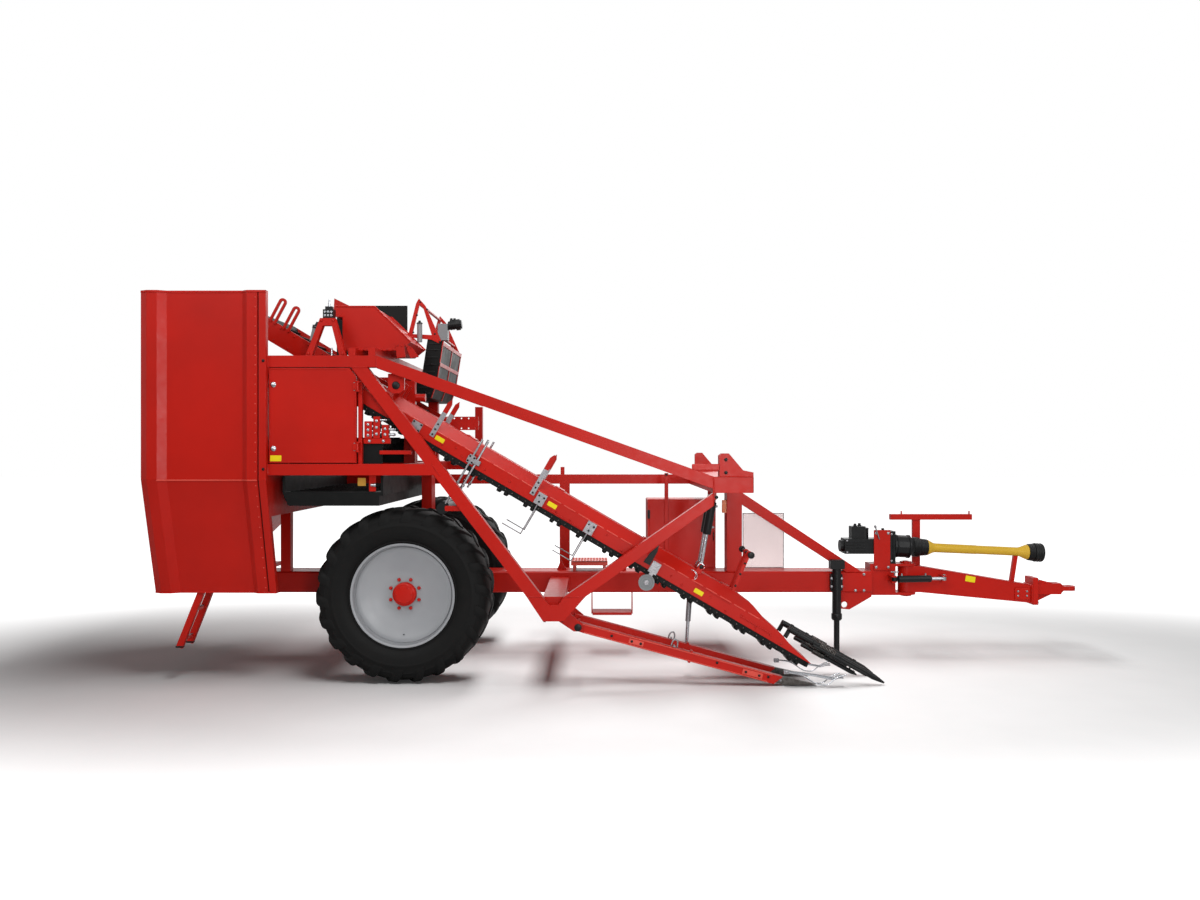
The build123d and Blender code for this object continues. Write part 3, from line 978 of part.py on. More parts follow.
# ---------------------------------------------------------------- lift cylinders
CYL_TOP = (2720.0, 1630.0)
CYL_EYE = on_unit(*EYE_AT)
CYL_LEN = hypot(CYL_EYE[0] - CYL_TOP[0], CYL_EYE[1] - CYL_TOP[1])
BARREL = (45.0, 325.0)      # from the top pin, as are the next two
BARREL_HOLE = 60.0
BARREL_NECK = 18.0
BARREL_R = 38.0
NECK_R = 18.0
RAM_R = 16.0
RAM_IN = 320.0
RAM_END = 20.0              # short of the lower pin
TOP_EYE = (30.0, 20.0)      # radius and half width
TOP_PIN_R = 15.0
LOW_EYE = (32.0, 18.0, 21.0)                     # radius, half width and bore
LUG_X = (PORTAL_X[0], PORTAL_X[0] + 52.0)
LUG_Z = (1606.0, PORTAL_Z[0])
LUG_T = 14.0
LUG_SIDES_Y = (-36.0, 22.0)
TOP_PIN_HALF = 22.0


def on_cylinder(distance, y):
    """Point on a cylinder's line, this far from its top pin."""
    x, z = part_way(CYL_TOP, CYL_EYE, distance / CYL_LEN)
    return (x, y, z)


barrels = []
rams = []
brackets = []
for y in EYE_Y:
    barrel = bar(on_cylinder(BARREL[0], y), on_cylinder(BARREL[1], y), BARREL_R, 2 * BAR_SIDES)
    barrel -= rod(on_cylinder(BARREL_HOLE, y), on_cylinder(BARREL[1] + PAST, y), RAM_R + RUN_GAP)
    barrel += bar(on_cylinder(BARREL_NECK, y), on_cylinder(BARREL_HOLE, y), NECK_R)
    barrel += cross_bar(*CYL_TOP, TOP_EYE[0], y - TOP_EYE[1], y + TOP_EYE[1], 2 * BAR_SIDES)
    barrels.append(barrel - drum(*CYL_TOP, TOP_PIN_R + RUN_GAP, y - TOP_EYE[1] - PAST, y + TOP_EYE[1] + PAST))
    ram = rod(on_cylinder(RAM_IN, y), on_cylinder(CYL_LEN - RAM_END, y), RAM_R)
    ram += cross_bar(*CYL_EYE, LOW_EYE[0], y - LOW_EYE[1], y + LOW_EYE[1], 2 * BAR_SIDES)
    rams.append(ram - drum(*CYL_EYE, LOW_EYE[2], y - LOW_EYE[1] - PAST, y + LOW_EYE[1] + PAST))
    bracket = drum(*CYL_TOP, TOP_PIN_R, y - TOP_PIN_HALF, y + TOP_PIN_HALF)
    for side in LUG_SIDES_Y:
        bracket += block(*LUG_X, y + side, y + side + LUG_T, *LUG_Z)
    brackets.append(bracket)
save("lift_barrels", *barrels)
save("lift_rods", *rams)

# ---------------------------------------------------------------- portal and front brace
HEAD_PLATE = ((50.0, 0.0), (50.0, 181.0), (73.0, 199.0), (131.0, 199.0), (253.0, 55.0), (341.0, 37.0),
              (341.0, 0.0))                      # from the portal's rear top edge
HEAD_PLATE_T = 20.0
FRONT_POST_X = (2990.0, 3140.0)
FRONT_POST_W = 200.0
BRACE_W = 120.0
BRACE_Z = (1500.0, 1620.0)
BRACE_FOOT = (4170.0, 4330.0)
heads = [side_prism([(PORTAL_X[0] + run, PORTAL_Z[1] + rise) for run, rise in HEAD_PLATE], y, y + HEAD_PLATE_T)
         for y in (RIGHT[0], RIGHT[1], LEFT_RAIL[0])]
brace = side_prism([(FRONT_POST_X[1], BRACE_Z[1]), (BRACE_FOOT[1], BEAM_TOP), (BRACE_FOOT[0], BEAM_TOP),
                    (FRONT_POST_X[1], BRACE_Z[0])], BEAM_Y0, BEAM_Y0 + BRACE_W)
save("portal", block(*PORTAL_X, -TRUSS_Y, LEFT_RAIL[1], *PORTAL_Z), *heads,
     block(*FRONT_POST_X, BEAM_Y0, BEAM_Y0 + FRONT_POST_W, BEAM_TOP, PORTAL_Z[0]), brace, *brackets)

# ---------------------------------------------------------------- share arms
ARM_X = 1537.0
ARM_Z = 514.0
ARM_PIN_R = 20.0
ARM_Y = ((-1140.0, -1070.0), (-800.0, -730.0))
ARM_LEAN = radians(-15.0)


def on_arm(run, rise):
    """X and Z of a point this far along the arms and this far above their middle line."""
    return (ARM_X + run * cos(ARM_LEAN) - rise * sin(ARM_LEAN), ARM_Z + run * sin(ARM_LEAN) + rise * cos(ARM_LEAN))


ARM = ((-45.0, -35.0), (-45.0, 40.0), (1820.0, 40.0), (1760.0, -40.0), (60.0, -40.0))    # run and rise
ARM_BAND = (995.0, 1015.0, 52.0)                 # where the strut's pin is welded on
SHARE_ROOT = ((1790.0, 40.0), (1820.0, 40.0), (1767.0, -27.0))
SHARE_TIP = ((3600.0, 12.0), (3330.0, 4.0))      # X and Z
SHARE_IN = 18.0
STRUT_FOOT = on_arm(1010.0, 0.0)
FOOT_PIN_R = 10.0
FOOT_PIN_END = STRUT_Y + 25.0
arms = []
points = []
for y in ARM_Y:
    arm = side_prism([on_arm(*corner) for corner in ARM], *y)
    root = [on_arm(*corner) for corner in SHARE_ROOT]
    points.append(side_prism([root[0], root[1], *SHARE_TIP, root[2]], y[0] + SHARE_IN, y[1] - SHARE_IN) - arm)
    arm -= drum(ARM_X, ARM_Z, ARM_PIN_R + RUN_GAP, y[0] - PAST, y[1] + PAST)
    band = [(ARM_BAND[0], -ARM_BAND[2]), (ARM_BAND[0], ARM_BAND[2]), (ARM_BAND[1], ARM_BAND[2]),
            (ARM_BAND[1], -ARM_BAND[2])]
    arms.append(arm + side_prism([on_arm(*corner) for corner in band], *y))
arms[1] += drum(*STRUT_FOOT, FOOT_PIN_R, ARM_Y[1][1], FOOT_PIN_END)
save("share_arms", *arms)
save("share_points", *points)

MOUNT = (1235.0, 1420.0, 690.0, 780.0)           # cross tube: X and Z
MOUNT_PLATE = ((1260.0, MOUNT[2]), (1400.0, MOUNT[2]), (1575.0, 545.0), (1575.0, 480.0), (1500.0, 480.0),
               (1260.0, 640.0))
MOUNT_PLATE_T = 20.0
MOUNT_PLATES_Y = (PIVOT_OUT - TRUSS_IN, -720.0)
MOUNT_PIN_END = -700.0
mount_plates = [side_prism(MOUNT_PLATE, y, y + MOUNT_PLATE_T) for y in MOUNT_PLATES_Y]
mount_pin = drum(ARM_X, ARM_Z, ARM_PIN_R, MOUNT_PLATES_Y[0], MOUNT_PIN_END)
save("share_mount", block(*MOUNT[:2], -TRUSS_IN, BEAM_Y0, *MOUNT[2:]), *mount_plates,
     mount_pin - mount_plates[0] - mount_plates[1])

# depth strut between the channel and the far arm
STRUT_TOP = on_unit(*STRUT_AT)
STRUT_OUT_R = 24.0
STRUT_IN_R = 16.0
OUTER_SHARES = (0.12, 0.6)  # where the hole starts and the outer tube ends, of the pins' distance
INNER_SHARES = (0.25, 0.97)
STRUT_EYE_HALF = (24.0, 20.0)
FOOT_BORE = 15.0


def on_strut(share):
    """Point on the strut's line, this share of the way from its top pin."""
    x, z = part_way(STRUT_TOP, STRUT_FOOT, share)
    return (x, STRUT_Y, z)


outer = bar(on_strut(0.0), on_strut(OUTER_SHARES[1]), STRUT_OUT_R, 2 * BAR_SIDES)
outer += cross_bar(*STRUT_TOP, STRUT_OUT_R, STRUT_Y - STRUT_EYE_HALF[0], STRUT_Y + STRUT_EYE_HALF[0], 2 * BAR_SIDES)
outer -= rod(on_strut(OUTER_SHARES[0]), on_strut(OUTER_SHARES[1] + 0.01), STRUT_IN_R + RUN_GAP)
outer -= drum(*STRUT_TOP, STRUT_PIN_R + RUN_GAP, STRUT_Y - STRUT_EYE_HALF[0] - PAST,
              STRUT_Y + STRUT_EYE_HALF[0] + PAST)
save("strut_tube", outer)
inner = rod(on_strut(INNER_SHARES[0]), on_strut(INNER_SHARES[1]), STRUT_IN_R)
inner += cross_bar(*STRUT_FOOT, STRUT_OUT_R, STRUT_Y - STRUT_EYE_HALF[1], STRUT_Y + STRUT_EYE_HALF[1], 2 * BAR_SIDES)
save("strut_rod", inner - drum(*STRUT_FOOT, FOOT_BORE, STRUT_Y - STRUT_EYE_HALF[1] - PAST,
                               STRUT_Y + STRUT_EYE_HALF[1] + PAST))

# ---------------------------------------------------------------- drawbar
BOSS_R = 78.0
BOSS_Z = (CLEVIS_Z[0][1] + SEAT_GAP, CLEVIS_Z[1][0] - SEAT_GAP)
BOSS_RUN = 120.0
TONGUE_END = 6070.0
TONGUE_END_Z = (506.0, 684.0)
TONGUE_Y = (SWIVEL_Y - BOSS_R, SWIVEL_Y + BOSS_R)
HITCH_PLATE = (TONGUE_END, TONGUE_END + 50.0, SWIVEL_Y - 95.0, SWIVEL_Y + 95.0, 490.0, 760.0)
NECK_END = 6370.0
NECK = (HITCH_PLATE[1], NECK_END, SWIVEL_Y - 60.0, SWIVEL_Y + 60.0, 590.0, 700.0)
HITCH_Z = (624.0, 669.0)
HITCH_HALF = 55.0
RING_R = 60.0
EYE_X = FRONT_X - RING_R
EYE_R = 25.0
HOOK = ((5860.0, 640.0), (5900.0, 640.0), (5950.0, 0.0), (5910.0, 0.0))    # shaft rest; its top two follow the shaft
HOOK_HALF = 20.0
RACK_POST = (4926.0, 5001.0, SWIVEL_Y + 96.0, SWIVEL_Y + 136.0, 700.0, 1331.0)
RACK_SEAT = (4926.0, 5001.0, TONGUE_Y[1], SWIVEL_Y + 96.0, 700.0, 780.0)
RACK_BAR = (4695.0, 5525.0, TONGUE_Y[1], SWIVEL_Y + 136.0, 1331.0, 1387.0)
tongue = side_prism([(SWIVEL_X, BOSS_Z[0]), (SWIVEL_X, BOSS_Z[1]), (SWIVEL_X + BOSS_RUN, BOSS_Z[1]),
                     (TONGUE_END, TONGUE_END_Z[1]), (TONGUE_END, TONGUE_END_Z[0]),
                     (SWIVEL_X + BOSS_RUN, BOSS_Z[0])], *TONGUE_Y)
tongue += bar((SWIVEL_X, SWIVEL_Y, BOSS_Z[0]), (SWIVEL_X, SWIVEL_Y, BOSS_Z[1]), BOSS_R, 2 * BAR_SIDES)
tongue -= rod((SWIVEL_X, SWIVEL_Y, BOSS_Z[0] - PAST), (SWIVEL_X, SWIVEL_Y, BOSS_Z[1] + PAST), SWIVEL_R + RUN_GAP)
tongue += block(*HITCH_PLATE) + block(*NECK)
towing_ring = block(NECK_END, EYE_X, SWIVEL_Y - HITCH_HALF, SWIVEL_Y + HITCH_HALF, *HITCH_Z)
towing_ring += rod((EYE_X, SWIVEL_Y, HITCH_Z[0]), (EYE_X, SWIVEL_Y, HITCH_Z[1]), RING_R)
tongue += towing_ring - rod((EYE_X, SWIVEL_Y, HITCH_Z[0] - PAST), (EYE_X, SWIVEL_Y, HITCH_Z[1] + PAST), EYE_R)
hook_top = shaft_z(HOOK[2][0]) - SHAFT_TUBE_R - SEAT_GAP
tongue += side_prism([HOOK[0], HOOK[1], (HOOK[2][0], hook_top), (HOOK[3][0], hook_top)],
                     SWIVEL_Y - HOOK_HALF, SWIVEL_Y + HOOK_HALF)
tongue += pin_plates(STEER_EYE[0], STEER_EYE[1] - 20.0, TONGUE_Y[0], STEER_EYE_H[1] + SEAT_GAP,
                     STEER_EYE, STEER_EYE_PIN_R)
save("drawbar", tongue, block(*RACK_POST) + block(*RACK_SEAT) + block(*RACK_BAR))

# ---------------------------------------------------------------- drive shaft and its guards
REAR_BELL = 145.0           # distances along the drive line from its rear end
FRONT_BELL = SHAFT_LEN - 150.0
CONE_LEN = 75.0
CONE_R = (46.0, 72.0)
YOKE_R = 36.0
YOKE_BORE = (17.5, 80.0)    # radius and depth
REAR_GUARD = ((0.0, 60.0, 94.0, 94.0), (60.0, REAR_BELL - SEAT_GAP, 84.0, 76.0))    # from, to, radii
FRONT_GUARD = ((FRONT_BELL + SEAT_GAP, SHAFT_LEN - 90.0, 78.0, 84.0), (SHAFT_LEN - 90.0, SHAFT_LEN - 5.0, 90.0, 90.0))
GUARD_HOLE = (FRONT_BELL - PAST, SHAFT_LEN, 56.0, 66.0)
GUARD_END = (FRONT_BELL + SEAT_GAP, FRONT_BELL + 12.0, 60.0, 60.0)
GUARD_SEAT = (FRONT_BELL - PAST, FRONT_BELL + 20.0, YOKE_R, YOKE_R)


def cone(start, end, r_start, r_end):
    """Flat-sided tapered bar along the drive line between two distances from its rear end."""
    place = Plane(origin=on_shaft(start), z_dir=Vector(*on_shaft(SHAFT_LEN)) - Vector(*on_shaft(0.0)))
    sections = [RegularPolygon(r_start, 2 * BAR_SIDES), Pos(0, 0, end - start) * RegularPolygon(r_end, 2 * BAR_SIDES)]
    return place * loft(sections, ruled=True)


pto = cone(REAR_BELL, FRONT_BELL, SHAFT_TUBE_R, SHAFT_TUBE_R)
pto += cone(REAR_BELL, REAR_BELL + CONE_LEN, CONE_R[1], CONE_R[0])
pto += cone(FRONT_BELL - CONE_LEN, FRONT_BELL, CONE_R[0], CONE_R[1])
pto += rod(on_shaft(FRONT_BELL - PAST), on_shaft(SHAFT_LEN), YOKE_R)
pto -= rod(on_shaft(SHAFT_LEN - YOKE_BORE[1]), on_shaft(SHAFT_LEN + PAST), YOKE_BORE[0])
save("pto_shaft", pto)
front_guard = cone(*FRONT_GUARD[0]) + cone(*FRONT_GUARD[1]) - cone(*GUARD_HOLE)
front_guard += cone(*GUARD_END) - rod(on_shaft(GUARD_SEAT[0]), on_shaft(GUARD_SEAT[1]), YOKE_R)
save("pto_guards", cone(*REAR_GUARD[0]) + cone(*REAR_GUARD[1]), front_guard)

# ---------------------------------------------------------------- steering cylinder
STEER_LEN = hypot(STEER_EYE[0] - STEER_REAR[0], STEER_EYE[1] - STEER_REAR[1])
STEER_BARREL = (38.0, 370.0)                     # from the rear pin, as are the next two
STEER_HOLE = 60.0
STEER_NECK = (20.0, 40.0)
STEER_BARREL_R = 34.0
STEER_NECK_R = 15.0
STEER_RAM_R = 16.0
STEER_RAM = (290.0, STEER_LEN - 15.0)
STEER_EYE_R = (28.0, 24.0)
STEER_EYE_BORE = 15.0


def on_steer(distance):
    """Point on the steering cylinder's line, this far from its rear pin."""
    x, y = part_way(STEER_REAR, STEER_EYE, distance / STEER_LEN)
    return (x, y, STEER_Z)


def upright(centre, half):
    """Ends of an upright line through a steering pin's centre."""
    return (*centre, STEER_Z - half), (*centre, STEER_Z + half)


steer = bar(on_steer(STEER_BARREL[0]), on_steer(STEER_BARREL[1]), STEER_BARREL_R, 2 * BAR_SIDES)
steer += bar(on_steer(STEER_NECK[0]), on_steer(STEER_NECK[1]), STEER_NECK_R)
steer -= rod(on_steer(STEER_HOLE), on_steer(STEER_BARREL[1] + PAST), STEER_RAM_R + RUN_GAP)
steer += bar(*upright(STEER_REAR, STEER_EYE_H[0]), STEER_EYE_R[0], 2 * BAR_SIDES)
save("steer_barrel", steer - rod(*upright(STEER_REAR, STEER_EYE_H[0] + PAST), STEER_REAR_PIN_R + RUN_GAP))
ram = rod(on_steer(STEER_RAM[0]), on_steer(STEER_RAM[1]), STEER_RAM_R)
ram += bar(*upright(STEER_EYE, STEER_EYE_H[1]), STEER_EYE_R[1], 2 * BAR_SIDES)
save("steer_rod", ram - rod(*upright(STEER_EYE, STEER_EYE_H[1] + PAST), STEER_EYE_BORE))
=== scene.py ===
# %% [markdown]
# # A trailed root harvester, dressed for its studio picture
# The machine is a one-row root lifter: two farm wheels, a tall pressed-steel bunker behind,
# a long inclined lifting channel on the right, and a steered drawbar in front.
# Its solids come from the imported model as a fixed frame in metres: +X forward, +Y left, +Z up.
# This lesson adds what the eye expects on such solids: paint, rubber, chrome, bolts, seams,
# plates and wires. Nothing here moves or resizes a solid.

import json
import math

import bmesh
import bpy
import numpy as np
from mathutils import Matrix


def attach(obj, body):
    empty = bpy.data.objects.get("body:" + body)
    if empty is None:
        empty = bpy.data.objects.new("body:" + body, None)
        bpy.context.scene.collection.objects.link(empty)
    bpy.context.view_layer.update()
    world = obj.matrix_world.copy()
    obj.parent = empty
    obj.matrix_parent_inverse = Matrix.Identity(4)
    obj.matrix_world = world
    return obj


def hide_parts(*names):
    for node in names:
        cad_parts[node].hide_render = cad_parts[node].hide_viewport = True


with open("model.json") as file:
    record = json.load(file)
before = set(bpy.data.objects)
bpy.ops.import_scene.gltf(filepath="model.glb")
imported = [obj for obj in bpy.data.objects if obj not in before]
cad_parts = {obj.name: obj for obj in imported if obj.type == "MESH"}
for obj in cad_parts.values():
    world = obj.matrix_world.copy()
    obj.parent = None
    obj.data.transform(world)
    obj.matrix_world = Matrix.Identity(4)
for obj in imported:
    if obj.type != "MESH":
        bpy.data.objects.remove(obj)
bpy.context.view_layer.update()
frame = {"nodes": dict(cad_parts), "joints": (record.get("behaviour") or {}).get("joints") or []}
NODES = frame["nodes"]
JOINT_AT = {joint["name"]: joint.get("pos_m") for joint in frame["joints"]}
AXLE_X = JOINT_AT["wheel_right_turn"][0]

# %% [markdown]
# ## Places on the machine
# A builder measures a trailer from its axle, so the pieces below do the same: X runs forward from
# the wheels' centre line, Y from the machine's middle and Z up from the ground, in millimetres.
# One function turns such a place into the frame's metres. A second one does it for places on the
# lifting channel, which slopes down towards the front.


# %% Places measured from the axle and along the channel
def at(x, y, z):
    """Metres in the frame: (x / 1000 + axle, y / 1000, z / 1000), for numbers or whole arrays."""
    return np.stack(np.broadcast_arrays(np.asarray(x) / 1000 + AXLE_X, np.asarray(y) / 1000,
                                        np.asarray(z) / 1000), axis=-1).astype(float)


def sloped(start, degrees, flat=False):
    """Place on something that falls to the front: x = x0 + run cos a + rise sin a,
    z = z0 - run sin a + rise cos a. With flat, the function gives X and Z in millimetres."""
    slope = math.radians(degrees)

    def place(run, y, rise):
        run, rise = np.asarray(run, float), np.asarray(rise, float)
        x = start[0] + run * math.cos(slope) + rise * math.sin(slope)
        z = start[1] - run * math.sin(slope) + rise * math.cos(slope)
        return (x, z) if flat else at(x, y, z)

    return place


LIFT_Y, BEAM_Y = -920, 260                 # middle of the lifting channel, of the beam and drawbar
on_channel = sloped((161, 2292), 30.2)     # run along the channel's ridge, rise above it
on_arm = sloped((1537, 514), 15)           # run along the share arms from their pin
print("axle at", round(AXLE_X, 3), "channel foot at", np.round(on_channel(3985, LIFT_Y, 0), 3))

# %% [markdown]
# ## Colour and shader helpers
# Paint makers give colours as sRGB hex, while shaders want linear light, so one function turns
# one into the other. Another small function adds any node with its settings and links, which
# keeps each material's own recipe short enough to read.


# %% Colour and node helpers
def rgb(code):
    """Linear RGBA of an sRGB hex: c / 12.92 below 0.04045, else ((c + 0.055) / 1.055) ** 2.4."""
    value = np.array([int(code[i:i + 2], 16) for i in (1, 3, 5)]) / 255
    linear = np.where(value <= 0.04045, value / 12.92, ((value + 0.055) / 1.055) ** 2.4)
    return (*linear.tolist(), 1)


def add(tree, kind, settings=None, **links):
    """A node of this kind: settings are its properties, links its inputs (a value or a socket)."""
    node = tree.nodes.new(kind)
    for name, value in (settings or {}).items():
        setattr(node, name, value)
    for name, value in links.items():
        key = int(name[1:]) if name[0] == "i" and name[1:].isdigit() else name.replace("_", " ")
        if isinstance(value, bpy.types.NodeSocket):
            tree.links.new(value, node.inputs[key])
        else:
            node.inputs[key].default_value = value
    return node


def new_material(name):
    """An empty node material and its tree, with the output node in place."""
    material = bpy.data.materials.new(name)
    material.use_nodes = True
    tree = material.node_tree
    tree.nodes.clear()
    output = tree.nodes.new("ShaderNodeOutputMaterial")
    shader = tree.nodes.new("ShaderNodeBsdfPrincipled")
    tree.links.new(shader.outputs["BSDF"], output.inputs["Surface"])
    return material, tree, shader


def per_metre(millimetres):
    """Texture scale on Object coordinates that gives one pattern cell this many millimetres wide."""
    return 1000 / millimetres


def mixed(tree, factor, low, high):
    """Colour between two others, by a factor socket."""
    return add(tree, "ShaderNodeMix", {"data_type": "RGBA"}, i0=factor, i6=low, i7=high).outputs[2]


def ramp(tree, factor, low, high):
    """Factor spread from low to high onto 0 to 1, clamped."""
    return add(tree, "ShaderNodeMapRange", {"clamp": True}, Value=factor, From_Min=low, From_Max=high).outputs[0]


def roughen(tree, shader, factor, low, high, smooth, dull):
    """Roughness from smooth to dull as the factor goes from low to high."""
    spread = add(tree, "ShaderNodeMapRange", Value=factor, From_Min=low, From_Max=high, To_Min=smooth, To_Max=dull)
    tree.links.new(spread.outputs[0], shader.inputs["Roughness"])


def relieve(tree, shader, radius, strength, distance, height):
    """Normal of a corner rounded by radius, with the height's relief on it."""
    corner = add(tree, "ShaderNodeBevel", {"samples": 4}, Radius=radius)
    bump = add(tree, "ShaderNodeBump", Strength=strength, Distance=distance, Height=height,
               Normal=corner.outputs[0])
    tree.links.new(bump.outputs[0], shader.inputs["Normal"])


print("signal red in linear light:", np.round(rgb("#B4170B")[:3], 3))

# %% [markdown]
# ## Powder-coated steel
# Farm machines are dusted with dry paint and baked. That gives an even, slightly soft gloss with
# a faint orange peel, and tube edges come out rounded, so they catch a thin line of light.
# A Bevel node rounds the corners for the shading alone: the solid keeps its sharp size.


# %% Powder coat
EDGE_R = 0.004                     # a tube's rounded corner in metres, as the light sees it
PEEL, PEEL_DEPTH = 0.05, 0.0006    # strength of the orange peel and its depth in metres


def powder_coat(name, colour, deep, roughness=0.33, peel_mm=2.2, gloss=0.25):
    """Baked powder paint: a slow shift between two shades, fine orange peel, rounded corners."""
    material, tree, shader = new_material(name)
    place = add(tree, "ShaderNodeTexCoord").outputs["Object"]
    slow = add(tree, "ShaderNodeTexNoise", Vector=place, Scale=per_metre(700), Detail=3, Roughness=0.6)
    fine = add(tree, "ShaderNodeTexNoise", Vector=place, Scale=per_metre(peel_mm), Detail=1)
    dust = add(tree, "ShaderNodeTexNoise", Vector=place, Scale=per_metre(60), Detail=5, Roughness=0.7)
    base = mixed(tree, ramp(tree, slow.outputs[0], 0.35, 0.7), rgb(colour), rgb(deep))
    tree.links.new(base, shader.inputs["Base Color"])
    roughen(tree, shader, dust.outputs[0], 0.3, 0.75, roughness - 0.05, roughness + 0.09)
    relieve(tree, shader, EDGE_R, PEEL, PEEL_DEPTH, fine.outputs[0])
    shader.inputs["IOR"].default_value = 1.5
    shader.inputs["Specular IOR Level"].default_value = gloss
    return material


RED = powder_coat("red_powder_coat", "#B4170B", "#A7150A", gloss=0.18)
GREY = powder_coat("grey_machine_enamel", "#7E8183", "#707375", roughness=0.42, gloss=0.4)
BLACK = powder_coat("black_chassis_paint", "#0F1011", "#0B0C0D", roughness=0.36, gloss=0.2)
RIM = powder_coat("silver_grey_rim_enamel", "#929497", "#86888C", roughness=0.33, peel_mm=3, gloss=0.3)
# A lighter red for folds, flanges, rivets and the tread plate: a painted highlight where their edges catch the
# light.
RED_PAINTED_HIGHLIGHT = powder_coat("red_powder_coat_painted_highlight", "#D0493B", "#C43A2C", roughness=0.3, gloss=0.4)
print("powder coats:", [m.name for m in (RED, GREY, BLACK, RIM, RED_PAINTED_HIGHLIGHT)])

# %% [markdown]
# ## Rubber and plastic
# A farm tyre is moulded black rubber: dull, a little brown where old soil stays in the pores.
# Belts are smoother and blacker. Shaft guards are blow-moulded plastic with a soft sheen.


# %% Rubber and plastic
def moulded(name, colour, dust, roughness, grain_mm, bump_mm, coat=0, gloss=0.25):
    """Moulded polymer: fine grain in the bump, dust where a slow noise is high."""
    material, tree, shader = new_material(name)
    place = add(tree, "ShaderNodeTexCoord").outputs["Object"]
    grain = add(tree, "ShaderNodeTexNoise", Vector=place, Scale=per_metre(grain_mm), Detail=4)
    slow = add(tree, "ShaderNodeTexNoise", Vector=place, Scale=per_metre(120), Detail=6, Roughness=0.65)
    share = ramp(tree, slow.outputs[0], 0.45, 0.95)
    tree.links.new(mixed(tree, share, rgb(colour), rgb(dust)), shader.inputs["Base Color"])
    roughen(tree, shader, slow.outputs[0], 0.3, 0.7, roughness - 0.06, roughness + 0.08)
    relieve(tree, shader, 0.003, 0.35, bump_mm / 1000, grain.outputs[0])
    shader.inputs["IOR"].default_value = 1.5
    shader.inputs["Specular IOR Level"].default_value = gloss
    shader.inputs["Coat Weight"].default_value = coat
    return material


TYRE = moulded("moulded_tyre_rubber", "#0B0B0B", "#161514", 0.6, 3, 0.5, gloss=0.12)
BELT = moulded("ribbed_belt_rubber", "#0B0C0C", "#141413", 0.5, 5, 0.6, gloss=0.12)
SHEET_RUBBER = moulded("black_rubber_sheet", "#0C0D0D", "#141413", 0.45, 9, 0.4, gloss=0.12)
YELLOW = moulded("yellow_guard_plastic", "#C6A02F", "#BD972C", 0.38, 4, 0.04, gloss=0.2)
BLACK_PLASTIC = moulded("black_guard_plastic", "#0E0F0F", "#151515", 0.42, 4, 0.2, gloss=0.18)
SIGN = moulded("blank_yellow_label_film", "#DDC916", "#CFBC16", 0.36, 6, 0.05, gloss=0.2)
YELLOW_STRIP = moulded("ochre_scraper_plastic", "#B98A35", "#A67B30", 0.4, 5, 0.2)
REFLECTOR = moulded("orange_reflector_plastic", "#D2661C", "#C45A18", 0.2, 5, 0.3, coat=0.5)
POLYMERS = (TYRE, BELT, SHEET_RUBBER, YELLOW, BLACK_PLASTIC, SIGN, YELLOW_STRIP, REFLECTOR)
print("polymers:", [m.name for m in POLYMERS])

# %% [markdown]
# ## Bare and plated metal
# Piston rods are hard chrome, ground along their turning direction. Levers and clamps are
# hot-dip galvanised: zinc freezes into flat grains, each a slightly different grey.
# The share points are plain steel that the soil keeps scoured.


# %% Metals
def plated(name, colour, other, roughness, cell_mm, bump_mm=0.1):
    """Metal with grains: Voronoi cells shift the colour and the roughness a little."""
    material, tree, shader = new_material(name)
    place = add(tree, "ShaderNodeTexCoord").outputs["Object"]
    cells = add(tree, "ShaderNodeTexVoronoi", Vector=place, Scale=per_metre(cell_mm))
    grey = add(tree, "ShaderNodeRGBToBW", Color=cells.outputs["Color"])
    share = ramp(tree, grey.outputs[0], 0.25, 0.75)
    tree.links.new(mixed(tree, share, rgb(colour), rgb(other)), shader.inputs["Base Color"])
    roughen(tree, shader, grey.outputs[0], 0, 1, roughness - 0.06, roughness + 0.08)
    wear = add(tree, "ShaderNodeTexNoise", Vector=place, Scale=per_metre(cell_mm * 3), Detail=4)
    relieve(tree, shader, 0.002, 0.3, bump_mm / 1000, wear.outputs[0])
    shader.inputs["Metallic"].default_value = 1
    return material


CHROME = plated("hard_chrome_rod", "#B2B4B8", "#A2A4A9", 0.2, 3, bump_mm=0.02)
ZINC = plated("hot_dip_galvanised_steel", "#908E91", "#7C7B7E", 0.4, 9)
STEEL = plated("scoured_share_steel", "#5A5755", "#46423F", 0.38, 14, bump_mm=0.4)
print("metals:", [m.name for m in (CHROME, ZINC, STEEL)])

# %% [markdown]
# ## Clear guard sheet
# The pale panel beside the gearbox is a polycarbonate sheet: it passes most light. Its pink tint is a
# painted reflection of the red paint around it.

# %% Polycarbonate
CLEAR, clear_tree, clear_shader = new_material("polycarbonate_guard_sheet")
clear_place = add(clear_tree, "ShaderNodeTexCoord").outputs["Object"]
clear_noise = add(clear_tree, "ShaderNodeTexNoise", Vector=clear_place, Scale=per_metre(300), Detail=2)
# Pale pink base colour: a painted reflection of the surrounding red paint.
clear_tree.links.new(mixed(clear_tree, clear_noise.outputs[0], rgb("#EBDDDC"), rgb("#E2D1D1")),
                     clear_shader.inputs["Base Color"])
clear_shader.inputs["Roughness"].default_value = 0.2
clear_shader.inputs["Transmission Weight"].default_value = 0.75
clear_shader.inputs["IOR"].default_value = 1.58
print("clear sheet:", CLEAR.name)

# %% [markdown]
# ## Which finish goes on which solid
# A short table names the finish of every node that isn't red. The rest get the powder coat.

